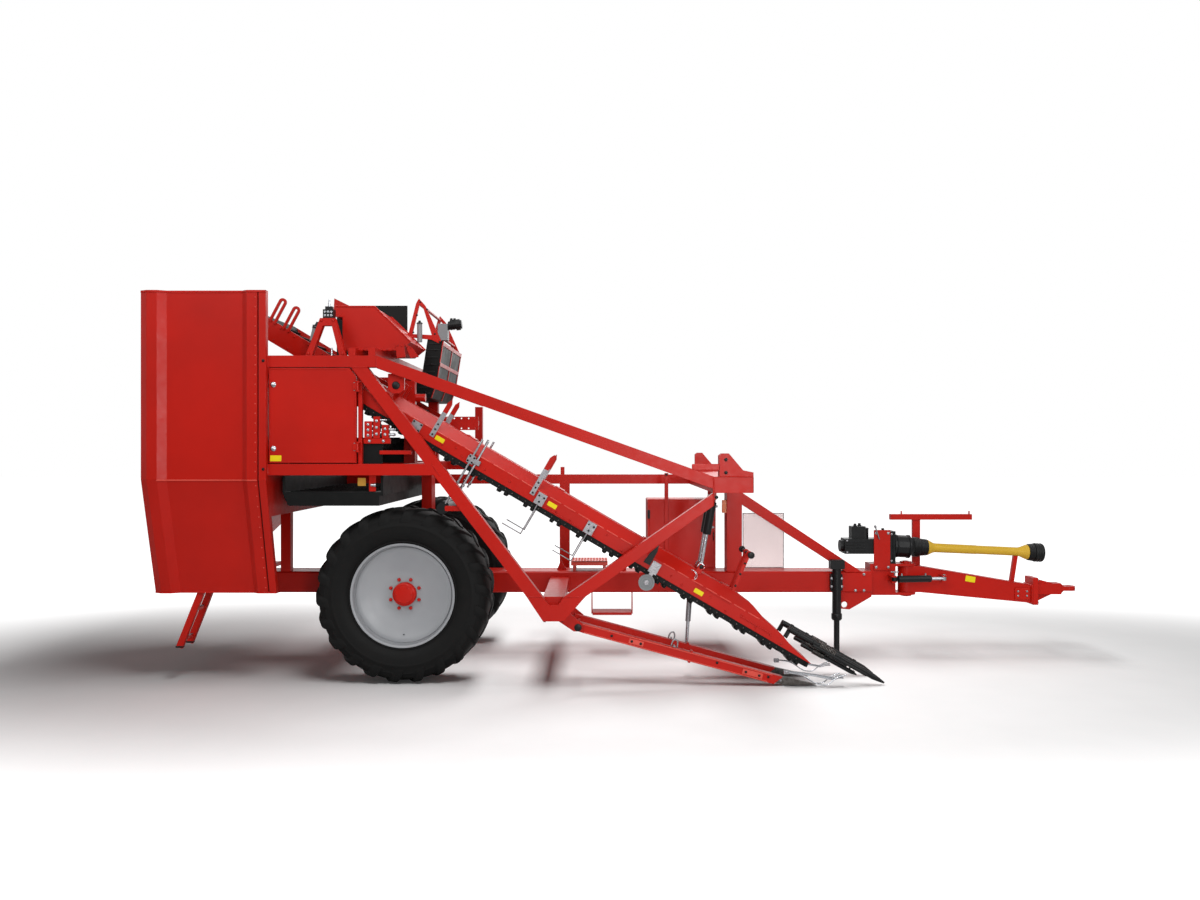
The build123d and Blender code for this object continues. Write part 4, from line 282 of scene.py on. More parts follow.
# %% Assign the finishes
FINISH = {
    TYRE: ["tyre_left", "tyre_right"],
    RIM: ["rim_left", "rim_right"],
    BELT: ["lift_belts", "elevator_belt", "cleaning_rollers"],
    SHEET_RUBBER: ["leaf_conveyor", "cross_conveyor"],
    BLACK: ["channel_rollers", "hydraulic_units", "crop_dividers", "drive_gearbox", "jack_leg",
            "jack_tube", "lift_barrels", "steer_barrel"],
    BLACK_PLASTIC: ["pto_guards"],
    YELLOW: ["pto_shaft"],
    CHROME: ["lift_rods", "steer_rod", "strut_rod"],
    ZINC: ["channel_fittings", "strut_tube"],
    GREY: ["guide_wheel", "drive_motors"],
    STEEL: ["share_points"],
    CLEAR: ["guard_panel"],
}
finish_of = {node: material for material, names in FINISH.items() for node in names}
for node_name, node in NODES.items():
    node.data.materials.clear()
    node.data.materials.append(finish_of.get(node_name, RED))
print(sum(name not in finish_of for name in NODES), "red nodes,", len(finish_of), "others")

# %% [markdown]
# ## Surfaces from numbers
# Nearly every small part of a machine is either a profile turned about an axis, a profile carried
# along a line, or a flat plate with rounded corners. Each of them is a grid of points: rows along,
# columns around. The functions below work out such grids as whole arrays, in millimetres. A piece
# then joins many grids, takes them to the machine or to the sloping channel, and becomes one mesh.


# %% Grids of points
def grid(points, along=False):
    """Quads between the neighbours of a rows x columns grid, closed around. Along closes it into a
    ring; without it, the first and last rows get a cap."""
    rows, columns = points.shape[:2]
    index = np.arange(rows * columns).reshape(rows, columns)
    index = np.concatenate([index, index[:, :1]], axis=1)
    if along:
        index = np.concatenate([index, index[:1]], axis=0)
    quads = np.stack([index[:-1, :-1], index[:-1, 1:], index[1:, 1:], index[1:, :-1]], axis=-1)
    faces = quads.reshape(-1, 4).tolist()
    if not along:
        faces += [index[0, :-1][::-1].tolist(), index[-1, :-1].tolist()]
    return points.reshape(-1, 3), faces


def across(axis):
    """The axis as a unit vector and two more, square to it and to each other."""
    axis = np.asarray(axis, float) / np.linalg.norm(axis)
    other = np.array([0, 0, 1]) if abs(axis[2]) < 0.9 else np.array([1, 0, 0])
    side = np.cross(other, axis)
    side /= np.linalg.norm(side)
    return axis, side, np.cross(axis, side)


def turned(profile, centre, axis, sides=32, closed=False):
    """Lathe: centre + along * axis + radius * (cos t * side + sin t * up), profile rows (radius, along)."""
    profile = np.asarray(profile, float)
    axis, side, up = across(axis)
    turn = 2 * np.pi * np.arange(sides) / sides
    circle = np.cos(turn)[:, None] * side + np.sin(turn)[:, None] * up
    points = np.asarray(centre, float) + profile[:, 1, None, None] * axis + profile[:, 0, None, None] * circle
    return grid(points, along=closed)


def swept(path, radius, flat, sides=10):
    """Round bar along a flat path: path + radius * (cos t * (flat x ahead) + sin t * flat)."""
    path, flat = np.asarray(path, float), np.asarray(flat, float)
    ahead = np.gradient(path, axis=0)
    ahead /= np.linalg.norm(ahead, axis=1, keepdims=True)
    side = np.cross(flat, ahead)
    turn = 2 * np.pi * np.arange(sides) / sides
    circle = np.cos(turn)[None, :, None] * side[:, None, :] + np.sin(turn)[None, :, None] * flat
    return grid(path[:, None, :] + radius * circle)


def plate(centre, wide, high, size, corner=4, edge=1):
    """Slab: outline sign * (half - corner) + corner * (cos t, sin t), its face drawn in by edge."""
    wide, high = np.asarray(wide, float), np.asarray(high, float)
    out = np.cross(wide, high)
    turn = np.radians(np.array([0, 30, 60, 90, 90, 120, 150, 180, 180, 210, 240, 270, 270, 300, 330, 360]))
    corner = min(corner, size[0] / 2 - 0.01, size[1] / 2 - 0.01)
    sign = np.array([[1, 1]] * 4 + [[-1, 1]] * 4 + [[-1, -1]] * 4 + [[1, -1]] * 4)
    half = np.array([size[0] / 2, size[1] / 2]) - corner
    ring = np.stack([np.cos(turn), np.sin(turn)], axis=-1)
    inset = np.array([edge, 0, 0, edge])[:, None, None]
    depth = np.array([-0.5, -0.5 + edge / size[2], 0.5 - edge / size[2], 0.5])[:, None] * size[2]
    flat = sign * half + ring * np.maximum(corner - inset, 0)
    points = (np.asarray(centre, float) + flat[..., :1] * wide + flat[..., 1:] * high
              + depth[..., None] * out)
    return grid(points)


def slab(outline, y0, y1):
    """Flat polygon in X and Z, extruded from y0 to y1."""
    outline = np.asarray(outline, float)
    rows = [np.stack([outline[:, 0], np.full(len(outline), y), outline[:, 1]], axis=-1) for y in (y0, y1)]
    return grid(np.stack(rows))


def many(shape, offsets):
    """Copies of one shape: its points + each offset, its faces + as many points per copy."""
    points, faces = shape
    offsets = np.asarray(offsets, float).reshape(-1, 3)
    shifted = (points[None] + offsets[:, None]).reshape(-1, 3)
    return shifted, [[i + k * len(points) for i in face] for k in range(len(offsets)) for face in faces]


def bolts(places, axis, radius=9, height=8):
    """Hexagon heads on washers: six-sided lathe profiles repeated at every place."""
    head = turned([(radius * 1.25, 0), (radius * 1.25, height * 0.2), (radius, height * 0.2),
                   (radius, height * 0.9), (radius * 0.8, height)], (0, 0, 0), axis, sides=6)
    return many(head, places)


def both_sides(places, far, radius, height):
    """Bolts on the right face and, at the same X and Z, on the left face at y = far."""
    return [bolts(places, -Y, radius, height),
            bolts(np.array(places) * (1, 0, 1) + (0, far, 0), Y, radius, height)]


def rail(start, end, count):
    """Places from start to end, both included, evenly spaced."""
    return np.linspace(start, end, count)


def bead(a, b, radius=5):
    """Weld bead: circle of radius * (0.85 + 0.3 * |sin|), one ripple each 9 mm, between two points."""
    a, b = np.asarray(a, float), np.asarray(b, float)
    length = np.linalg.norm(b - a)
    share = np.linspace(0, 1, int(max(8, min(90, length / 4.5))))
    axis, side, up = across(b - a)
    turn = 2 * np.pi * np.arange(8) / 8
    swell = radius * (0.85 + 0.3 * np.abs(np.sin(np.pi * share * length / 9)))
    circle = np.cos(turn)[:, None] * side + np.sin(turn)[:, None] * up
    return grid(a + share[:, None, None] * (b - a) + swell[:, None, None] * circle)


def coil(a, b, radius, wire, turns):
    """Helix: a + s (b - a) + radius * radial + wire * (cos v * radial + sin v * along),
    where radial = cos(2 pi turns s) * side + sin(2 pi turns s) * up."""
    a, b = np.asarray(a, float), np.asarray(b, float)
    axis, side, up = across(b - a)
    share = np.linspace(0, 1, turns * 16 + 1)
    turn = 2 * np.pi * turns * share
    radial = np.cos(turn)[:, None] * side + np.sin(turn)[:, None] * up
    around = 2 * np.pi * np.arange(7) / 7
    section = np.cos(around)[None, :, None] * radial[:, None] + np.sin(around)[None, :, None] * axis
    return grid(a + share[:, None, None] * (b - a) + radius * radial[:, None] + wire * section)


X, Y, Z = np.eye(3)
CHASSIS, CHANNEL, SHARE, SWING = "chassis", "lift_unit", "share", "drawbar_swing"
dict.fromkeys((RED, RED_PAINTED_HIGHLIGHT), "red_paint")
dict.fromkeys((BELT, SHEET_RUBBER, BLACK_PLASTIC), "black_rubber")
dict.fromkeys((SIGN, YELLOW, YELLOW_STRIP, REFLECTOR), "yellow_plastic")


def piece(name, shapes, material, body=CHASSIS, place=at, angle=35, bevel=0):
    """One mesh from many shapes, taken to its place in metres, with outward faces."""
    counts = np.cumsum([0] + [len(points) for points, _ in shapes])
    points = np.concatenate([points for points, _ in shapes])
    faces = [[i + shift for i in face] for (_, part), shift in zip(shapes, counts) for face in part]
    mesh = bpy.data.meshes.new(name)
    mesh.from_pydata(place(points[:, 0], points[:, 1], points[:, 2]).tolist(), [], faces)
    shell = bmesh.new()
    shell.from_mesh(mesh)
    bmesh.ops.remove_doubles(shell, verts=shell.verts, dist=1e-6)
    bmesh.ops.dissolve_degenerate(shell, edges=shell.edges, dist=1e-6)
    bmesh.ops.recalc_face_normals(shell, faces=shell.faces)
    shell.to_mesh(mesh)
    shell.free()
    mesh.polygons.foreach_set("use_smooth", [True] * len(mesh.polygons))
    mesh.set_sharp_from_angle(angle=math.radians(angle))
    mesh.materials.append(material)
    item = bpy.data.objects.new(name, mesh)
    bpy.context.scene.collection.objects.link(item)
    if bevel:
        soft = item.modifiers.new("soft_edges", "BEVEL")
        soft.width, soft.segments, soft.limit_method = bevel / 1000, 2, "ANGLE"
    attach(item, body)
    print(f"{name}: {len(mesh.polygons)} faces on {body}")
    return item


print("builders ready")

# %% [markdown]
# ## The farm tyre
# A drive tyre is moulded in one: a rounded casing, and two rows of lugs that meet like a chevron.
# Each lug starts near the middle, runs outwards at a slant, and rolls over the shoulder down the
# sidewall. The casing is a lathe; a lug is a small section carried along that curve, and all
# the lugs are one array turned to their places. They replace the plain tyre's solid.

# %% Tyre casing and lugs
WHEEL_Z, TRACK = 770, 850
LUGS_A_SIDE = 22
CASING = [(448, 192), (452, 197), (462, 200), (470, 206), (478, 203), (486, 212), (510, 226), (545, 235),
          (590, 239), (604, 240), (610, 242), (616, 240), (640, 238), (670, 231), (676, 232), (682, 228),
          (702, 220), (724, 203), (742, 168), (752, 110), (756, 55)]


def casing(side):
    """Closed lathe of the casing's half profile and its mirror image, about the wheel's axle."""
    half = np.array(CASING, float)
    mirror = half[::-1] * (1, -1)
    return turned(np.concatenate([half, mirror]), (0, side * TRACK, WHEEL_Z), Y, sides=144, closed=True)


def lugs(side):
    """Lug rows: u goes from the middle out over the shoulder, v around the section.
    turn(u) = start + 0.235 u^0.9 - 0.12; reach, foot and top follow the casing, width is half a lug."""
    u = np.linspace(0, 1, 12)
    reach = np.array([-8, 22, 52, 84, 116, 146, 172, 194, 212, 226, 234, 239], float)
    top = np.array([766, 769, 770, 770, 769.5, 768, 765, 759, 749, 733, 706, 668], float)
    foot = np.array([738, 738, 738, 737, 734, 728, 719, 707, 694, 676, 658, 640], float)
    lean = 0.235 * u ** 0.9
    width = np.array([24, 27, 29, 30, 31, 32, 33, 34, 35, 35, 33, 28], float)
    section = np.array([(-1.35, 0), (-1, 0.8), (-0.8, 1), (0.8, 1), (1, 0.8), (1.35, 0)])
    radius = foot[:, None] + (top - foot)[:, None] * section[None, :, 1]
    across_y = np.broadcast_to(reach[:, None], radius.shape)
    swing = section[None, :, 0] * width[:, None] / radius
    start = 2 * np.pi * (np.arange(2 * LUGS_A_SIDE) / 2) / LUGS_A_SIDE
    way = np.where(np.arange(2 * LUGS_A_SIDE) % 2 == 0, 1, -1)
    turn = start[:, None, None] + lean[None, :, None] - 0.12 + swing[None]
    points = np.stack([radius[None] * np.sin(turn), side * TRACK + way[:, None, None] * across_y[None],
                       WHEEL_Z - radius[None] * np.cos(turn)], axis=-1)
    base = grid(points[0])[1]
    count = points.shape[1] * points.shape[2]
    return points.reshape(-1, 3), [[i + k * count for i in face] for k in range(len(points)) for face in base]


for side, word in ((-1, "right"), (1, "left")):
    tyre = piece(f"moulded_tyre_{word}", [casing(side), lugs(side)], TYRE, f"wheel_{word}", angle=40)
    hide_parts(f"tyre_{word}")

# %% [markdown]
# ## Rim, hub and nuts
# The rim is rolled from plate: two flanges, two bead seats, a well, and a dished disc welded in.
# Turned on a fine lathe it gets the soft shadow that a real dish shows. Eight wheel nuts and the
# hub's cap are red, and a rubber valve sticks out through the disc.

# %% Rim, hub, nuts and valve
RIM_PROFILE = [(447, 195), (456, 196), (458, 203), (456, 209), (446, 209), (437, 203), (434, 192), (432, 150),
               (424, 142), (420, 150), (408, 151), (392, 151), (378, 147), (360, 138), (300, 120),
               (240, 104), (200, 94), (176, 92), (104, 92), (104, 78), (176, 78), (240, 90), (360, 124),
               (385, 134), (410, 136), (424, 128), (424, -195), (446, -209), (456, -209), (458, -203),
               (456, -196), (447, -195)]
HUB_PROFILE = [(0.5, 154), (58, 154), (78, 150), (84, 142), (92, 136), (100, 132), (104, 124), (104, 78),
               (165, 78), (165, 62), (90, 62), (90, -106), (45.2, -106)]
NUT_RING, NUT_COUNT = 135, 8
CAP_RING, CAP_COUNT = 68, 6
for side, word in ((-1, "right"), (1, "left")):
    middle, out = (0, side * TRACK, WHEEL_Z), side * Y
    rim = piece(f"rolled_rim_{word}", [turned(RIM_PROFILE, middle, out, sides=128, closed=True)], RIM,
                f"wheel_{word}")
    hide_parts(f"rim_{word}")
    turn = 2 * np.pi * (np.arange(NUT_COUNT) + 0.5) / NUT_COUNT
    spots = np.stack([NUT_RING * np.cos(turn), np.zeros(NUT_COUNT), NUT_RING * np.sin(turn)], axis=-1)
    nuts = turned([(17, 92), (17, 97), (14, 97), (14, 113), (11, 116), (8, 116), (8, 124), (6, 125)],
                  middle, out, sides=6)
    turn = 2 * np.pi * np.arange(CAP_COUNT) / CAP_COUNT
    cap_spots = np.stack([CAP_RING * np.cos(turn), np.full(CAP_COUNT, side * 150), CAP_RING * np.sin(turn)],
                         axis=-1)
    hub = piece(f"hub_and_nuts_{word}",
                [turned(HUB_PROFILE, middle, out, sides=64), many(nuts, spots),
                 bolts(cap_spots + middle, out, 6, 7)], RED, f"wheel_{word}")
    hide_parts(f"hub_{word}")
    piece(f"tyre_valve_{word}",
          [turned([(8, 96), (8, 112), (5, 118), (4, 140), (5, 141), (5, 148), (3, 149)],
                  (0, side * TRACK, WHEEL_Z - 350), out, sides=12)], BLACK_PLASTIC, f"wheel_{word}")

# %% [markdown]
# ## Folded edges of the bunker
# The bunker's walls are pressed sheets. Where a sheet ends it is folded back, so that the edge is
# stiff and not sharp, and the upper and lower sheets meet in a flange. Each fold is a thin strip
# that follows the wall's pressing: the same outline as the solid, moved out by a few millimetres.

# %% Bunker folds and rivets
BUNKER_FRONT = -1106
PRESS = np.array([(0, 35), (65, 0), (151, 0), (221, 35), (866, 35), (914, 0), (1076, 0)], float)
REAR, WALL_Y = -2182, 1300
TOP_Z, BEND_Z, LOW_Z, TUCK = 3399, 1789, 787, 270


def fold(side, z, tuck, high, proud, runs=(0, 1076)):
    """Strip along the pressing: the wall's plan, out by proud, as high as given, from run to run."""
    run = np.unique(np.concatenate([PRESS[:, 0], runs]))
    run = run[(run >= runs[0]) & (run <= runs[1])]
    depth = np.interp(run, PRESS[:, 0], PRESS[:, 1])
    face = side * (WALL_Y - tuck - depth)
    rows = np.array([(-6, -0.5), (proud, -0.5), (proud, 0.5), (-6, 0.5)])
    points = np.stack([np.broadcast_to(REAR + run[:, None], (len(run), 4)),
                       face[:, None] + side * rows[None, :, 0],
                       np.broadcast_to(z + rows[None, :, 1] * high, (len(run), 4))], axis=-1)
    return grid(points)


rims = [fold(-1, TOP_Z - 9, 0, 18, 5), fold(-1, LOW_Z + 7, TUCK - 2, 14, 5), fold(1, 2991, 0, 18, 5)]
piece("bunker_folded_rims", rims, RED)
# The bend flanges are the lighter red: a painted highlight along the fold line.
flanges = [fold(side, BEND_Z - 3, 0, 11, 8, (150, 1001)) for side in (-1, 1)]
piece("bunker_bend_flanges", flanges, RED_PAINTED_HIGHLIGHT)
GROOVE_X, RIVET_X = REAR + 1008, REAR + 986
seals = []
for side, top in ((-1, TOP_Z), (1, 3000)):
    upper = np.linspace((GROOVE_X, side * 1290, BEND_Z), (GROOVE_X, side * 1290, top - 2), 3)
    lower = np.linspace((GROOVE_X, side * 1020, LOW_Z + 2), (GROOVE_X, side * 1290, BEND_Z), 3)
    seals += [swept(path, 3.2, X, 8) for path in ((upper, lower) if side < 0 else (upper,))]
piece("bunker_seam_seals", seals, SHEET_RUBBER)
rivet = turned([(6, 0), (5, 2), (3, 3.2), (0.5, 3.6)], (0, 0, 0), -Y, sides=10)
rivets = [(RIVET_X, -WALL_Y, z) for z in rail(1860, 3340, 19)]
low_rivets = [(RIVET_X, -WALL_Y + TUCK * (BEND_Z - z) / (BEND_Z - LOW_Z), z) for z in rail(840, 1740, 11)]
# The rivets are the lighter red too: a painted highlight on their heads.
piece("bunker_rivets", [many(rivet, rivets + low_rivets)], RED_PAINTED_HIGHLIGHT)
piece("bunker_frame_bolts", [bolts([(-1128, -1300, z) for z in (1880, 2800)], -Y, 11, 9)], BLACK)
RIB_FOOT = 1050
rib_tops = {y: TOP_Z - 50 - (y + 1245) * 0.16 for y in (-820, -270, 270, 820)}
stiffeners = [plate((REAR - 3, y, (top + RIB_FOOT) / 2), Y, Z, (70, top - RIB_FOOT, 10), 6, 3)
              for y, top in rib_tops.items()]
stiffeners += [plate((REAR - 4, 0, z), Y, Z, (2180, 60, 12), 6, 3) for z in (1900, 2640)]
stiffeners += [plate((BUNKER_FRONT + 4, y, 2300), Y, Z, (60, 700, 8), 6, 3) for y in (-700, 700)]
piece("bunker_end_stiffeners", stiffeners, RED)

# %% [markdown]
# ## The side door
# The door is one bent sheet. It shows two quarter-turn locks, two pressed hinges and a border
# where the sheet turns in. Its label is a blank plate.

# %% Door border, locks, hinges and blank plates
DOOR = "door"
DOOR_FACE = -1250
lock_z = np.array([2055, 2600])
border = [plate((x, DOOR_FACE - 1, z), X, Z, (wide, high, 4), 2, 1) for x, z, wide, high in (
    (-726, 1941, 728, 10), (-755, 2733, 660, 10), (-1090, 2337, 10, 784), (-361, 2305, 9, 716))]
piece("door_border", border, RED, DOOR)
lock = turned([(24, 0), (24, 3), (20, 7), (16.5, 9), (16.5, 15), (13, 17), (0.5, 17)], (0, 0, 0), -Y, sides=24)
piece("door_locks", [many(lock, [(-1060, DOOR_FACE, z) for z in lock_z]),
                     *[plate((-1060, DOOR_FACE - 18, z), X, Z, (22, 5, 4), 2, 1) for z in lock_z]],
      CHROME, DOOR)
hinge_z = (2069, 2585)
piece("door_hinges", [plate((-368, DOOR_FACE - 3, z), X, Z, (14, 70, 6), 3, 1.5) for z in hinge_z]
      + [bolts([(-368, DOOR_FACE - 6, z + s) for z in hinge_z for s in (-24, 24)], -Y, 4, 4)],
      ZINC, DOOR)
piece("door_blank_plate", [plate((-1040, DOOR_FACE - 1.2, 1972), X, Z, (100, 50, 2), 5, 0.6)],
      SIGN, DOOR)

# %% [markdown]
# ## Frame joints
# The trusses are square tubes welded together. A welder leaves a rippled bead at each joint, and
# open tube ends get a cap. The bead is a bar along the joint whose radius goes up and down.


# %% Weld beads, end caps and frame bolts
NEAR, FAR = -1250, 1250            # outer faces of the right and the left truss
RAIL_LOW, RAIL_TOP = 2749, 2849    # under and upper face of the rails along the top
SILL_LOW, SILL_TOP = 1827, 1924    # the same of the rails at half height
FRONT_TOP = 1815                   # upper face of the rails in front
BEAM_TOP, POST_FACE = 833, 930     # upper face of the main beam, outer face of its left posts
SEAMS = (  # start and end of each joint on the right truss, X and Z
    ((-397, RAIL_LOW), (-260, RAIL_LOW)), ((-180, RAIL_LOW), (-180, RAIL_TOP)), ((1100, 790), (1235, 790)),
    ((1420, 790), (1600, 790)), ((2694, 1566), (2694, FRONT_TOP)),
    ((BUNKER_FRONT, RAIL_LOW), (BUNKER_FRONT, RAIL_TOP)), ((BUNKER_FRONT, SILL_LOW), (BUNKER_FRONT, SILL_TOP)),
    ((289, SILL_TOP), (360, SILL_LOW)), ((2744, FRONT_TOP), (3035, FRONT_TOP)))
beads = [bead((a[0], NEAR, a[1]), (b[0], NEAR, b[1])) for a, b in SEAMS]
beads += [bead((x, 100, BEAM_TOP), (x + 1, 300, BEAM_TOP)) for x in (2990, 3140)]
beads += [bead((x0, y, z), (x1, y, z)) for x0, x1, y, z in (
    (2990, 3140, 100, BEAM_TOP), (2990, 3140, 100, 1676), (4170, 4330, 100, BEAM_TOP))]
beads += [bead((4435, 160, 624), (4435, 160, BEAM_TOP)), bead((-60, -100, BEAM_TOP), (40, -100, BEAM_TOP))]
piece("weld_beads", beads, RED)
foot_bolts = [(x, -1210, 581) for x in (1252, 1403)]
piece("truss_foot_bolts", [bolts(foot_bolts, -Z, 12, 12),
                           bolts([(2720, NEAR, 1640), (2800, NEAR, 1960), (2800, NEAR, 1850)], -Y, 13, 10)],
      BLACK)
caps = [plate((3036, -1175, 1745), Y, Z, (146, 134, 4), 10, 2),
        plate((3036, 890, 1745), Y, Z, (76, 134, 4), 10, 2),
        plate((998, 890, 683), Y, Z, (76, 96, 4), 8, 2),
        plate((-2032, BEAM_Y, 728), Y, Z, (300, 190, 4), 20, 2)]
piece("tube_end_caps", caps, BLACK_PLASTIC)
ridge = [plate((2700, -1253, 1745), X, Z, (10, 139, 6), 3, 2)]
gussets = [slab([(-180, 2740), (-40, 2740), (-40, 2690)], -1246, -1236),
           slab([(1290, BEAM_TOP), (1390, BEAM_TOP), (1330, 930)], 246, 256),
           slab([(1900, BEAM_TOP), (1990, BEAM_TOP), (1990, 930)], 246, 256)]
piece("frame_gussets", ridge + gussets, RED)

# %% [markdown]
# ## Trim along the lifting channel
# The channel's side sheets and its cover are spot-welded along a slotted flange, drawn in a lighter red
# as a broken line of painted highlight. Bolts, blank yellow plates and zinc brackets sit on the side sheet.

# %% Slotted flange, bolts and plates on the channel
FACE, BACK_FACE = -1120, -720
dash_runs = np.arange(-480, 3440, 142)
dash_runs = dash_runs[np.abs(dash_runs - 2330) > 60]
dash = plate((0, 0, 0), X, Z, (112, 9, 9), 3.5, 2.5)
dashes = np.stack([dash_runs, np.full(len(dash_runs), FACE + 1), np.full(len(dash_runs), 1)], axis=-1)
# The dashes are the lighter red: a painted highlight along the channel's ridge.
piece("slotted_flange", [many(dash, dashes), many(dash, dashes * (1, 0, 1) + (0, BACK_FACE - 1, 0))],
      RED_PAINTED_HIGHLIGHT, CHANNEL, on_channel)
side_bolts = [(run, FACE, rise) for run, rise in (
    (-420, -40), (-250, -70), (-130, -40), (270, -72), (390, -40), (470, -78), (700, -78), (940, -60),
    (1420, -84), (1560, -84), (1900, -30), (2080, -90), (2560, -60), (2680, -84), (2950, -52),
    (3120, -88), (3260, -45), (3420, -84), (3560, -70), (3680, -92))]
piece("channel_bolts", both_sides(side_bolts, BACK_FACE, 8, 7), RED, CHANNEL, on_channel)
plate_bolts = [(run, FACE - 6, rise) for run in (-38, 33) for rise in (-76, -20)]
wire_bolts = [(run + s, FACE - 14, rise) for run in (1247, 1743) for s, rise in ((-24, -32), (24, -32), (0, -80))]
clamp_bolts = [(555 + s, FACE - 23, rise) for s in (-20, 20) for rise in (-80, -36)]
lever_bolts = [(run, FACE - 8, rise) for run in (155, 1160) for rise in (-40, 10, 60)]
piece("bracket_bolts", [bolts(plate_bolts + wire_bolts + clamp_bolts + lever_bolts, -Y, 8, 8)],
      BLACK, CHANNEL, on_channel)
SIGNS = ((232, -46), (1360, -50), (2836, -62))
piece("channel_blank_plates", [plate((run, FACE - 1.2, rise), X, Z, (86, 40, 2.4), 6, 0.6)
                               for run, rise in SIGNS], SIGN, CHANNEL, on_channel)
ROD_SIDES = (FACE - 12, BACK_FACE + 12)
second = [turned([(9.5, -330), (9.5, 150), (7, 153), (0.5, 153)], (607, y, 0), Z, 20) for y in ROD_SIDES]
piece("second_slide_rods", second, CHROME, CHANNEL, on_channel)
slides = [plate((581, y, -58), X, Z, (124, 46, 24), 6, 3) for y in ROD_SIDES]
slides += [turned([(11, -300), (15, -297), (15, -280), (11, -277)], (x, y, 0), Z, 20)
           for x in (555, 607) for y in ROD_SIDES]
piece("slide_clamps", slides, ZINC, CHANNEL, on_channel)
stiff = [plate((run, FACE - 4, rise), X, Z, size, 6, 2) for run, rise, size in (
    (1560, -100, (520, 12, 8)), (2950, -8, (360, 10, 8)), (3400, -60, (300, 10, 8)))]
piece("channel_stiffeners", stiff, RED, CHANNEL, on_channel)

# %% [markdown]
# ## Belt lugs
# Two endless rubber belts grip the leaves. Their lugs stick out below as round-ended bars.
# Each is a short capsule across the belt, in pairs, at the pitch of the belt's steel rods.

# %% Belt lugs and rods
ROD_PITCH, LUG_PITCH, LUG_PAIRS = 66.25, 265, 17
lug_runs = np.concatenate([start + np.arange(LUG_PAIRS) * LUG_PITCH for start in (-433, -363)])
capsule = turned([(0.5, -92), (13, -88), (20, -78), (20, 78), (13, 88), (0.5, 92)], (0, 0, 0), Y, sides=12)
lug_places = [(run, LIFT_Y + s, -166) for run in lug_runs for s in (-113, 102)]
piece("belt_lugs", [many(capsule, lug_places)], BELT, CHANNEL, on_channel)
rod_end = turned([(6, 0), (6, 5), (4, 7)], (0, 0, 0), -Y, sides=8)
rod_runs = np.arange(-515, 3910, ROD_PITCH)
piece("belt_rod_ends", [many(rod_end, [(run, -1112, -137) for run in rod_runs])], STEEL, CHANNEL, on_channel)
rib_runs = np.arange(-500, 3910, ROD_PITCH)
rib = plate((0, 0, 0), X, Z, (15, 40, 5), 3, 1.5)
piece("belt_ribs", [many(rib, [(run, -1113, -138) for run in rib_runs])], BELT, CHANNEL, on_channel)

# %% [markdown]
# ## The valve gear on top
# Oil motors drive the belts. Their valves, plugs and bolts are small turned and milled pieces, so
# a few lathe profiles at the right places are enough. The hood beside them is folded sheet, held
# by a row of bolts, and its flaps hang from a hinge rod.

# %% Hood, valves and motors on top
HOOD_FACE = -1000
hood_edge = ((-604, 3305), (-256, 3305), (62, 2994))
hood_folds = [swept(np.linspace((a[0], y, a[1]), (b[0], y, b[1]), 3), 7, Y, 8)
              for y in (HOOD_FACE, -300) for a, b in zip(hood_edge, hood_edge[1:])]
hood_folds += [plate((-300, HOOD_FACE - 2, 2925), X, Z, (470, 18, 6), 3, 1.5)]
piece("hood_folds", hood_folds, RED)
row = [(x, HOOD_FACE - 5, 2925) for x in rail(-510, -90, 9)]
flap_row = [(x, HOOD_FACE - 8, 2962 - i * 6) for i, x in enumerate((-50, -15, 30, 62))]
STAND_FACE, MOTOR_Y = -1240, -240
valve_plugs = [(x, STAND_FACE, z) for x in (-622, -595, -568) for z in (3192, 3222)]
stand_bolts = [(x, STAND_FACE, z) for x, z in ((-762, 2866), (-472, 2866), (-652, 3150), (-552, 3150))]
on_elevator = sloped((-1450, 3225), 30.94, flat=True)
elevator_bolts = [on_elevator(run, 0, rise) for run in rail(60, 1720, 12) for rise in (-62, 62)]
elevator_near = [(x, -550, z) for x, z in elevator_bolts]
head_bolts = [(x, -292, z) for x, z in (
    (-55, 3165), (-20, 3330), (10, 3455), (75, 3385), (150, 3150), (195, 3075), (-60, 2600), (60, 2600),
    (100, 2700), (60, 2780), (120, 2860), (150, 3000))]
piece("top_bolts", [bolts(row + flap_row, -Y, 7, 6), bolts(stand_bolts, -Y, 11, 9),
                    *both_sides(elevator_near, 450, 8, 6)], RED)
piece("discharge_bolts", [bolts(head_bolts, -Y, 8, 6)], BLACK)
belt_slats = [plate((x, -283, z), X, Z, (size, 14, 6), 4, 2) for x, z, size in (
    (10, 2580, 190), (20, 2640, 200), (60, 2720, 130), (90, 2790, 120), (105, 2860, 120),
    (120, 2930, 120), (135, 3000, 120), (145, 3060, 110))]
edge_strip = [(225, 3080), (232, 3080), (167, 2680), (117, 2540), (110, 2540), (160, 2680)]
frame_bars = [slab(edge_strip, y, y + 26) for y in (-280, 300, 874)]
for z in (3076, 2880, 2716):
    lean = (3080 - z) * 0.1625
    frame_bars.append(slab([(225 - lean, z), (233 - lean, z), (227 - lean, z - 34), (219 - lean, z - 34)],
                           -280, 900))
piece("discharge_edge_bars", frame_bars, RED)
piece("discharge_slats", belt_slats, BLACK_PLASTIC)
piece("valve_plugs", [bolts(valve_plugs, -Y, 9, 12),
                      turned([(11, 0), (11, 30), (8, 34), (8, 60), (5, 64), (0.5, 64)],
                             (-595, -1202, 3272), Z, 16),
                      turned([(7, 0), (7, 52), (9, 54), (9, 68), (4, 70), (0.5, 70)],
                             (-572, -1210, 2849), Z, 14)],
      CHROME)
MOTOR_AXIS, BOTTLE_AXIS = (130, 0, 15), (35, 0, 145)
motor_rings = [turned([(r - 8, s), (r, s), (r, s + 8), (r - 8, s + 8)], (270, MOTOR_Y, 3235), MOTOR_AXIS, 24)
               for s, r in ((20, 46), (36, 46), (52, 46), (120, 40))]
motor_rings += [turned([(16, 0), (16, 18), (12, 20), (12, 30), (8, 31)], (x, MOTOR_Y, 3276), Z, 14)
                for x in (300, 330)]
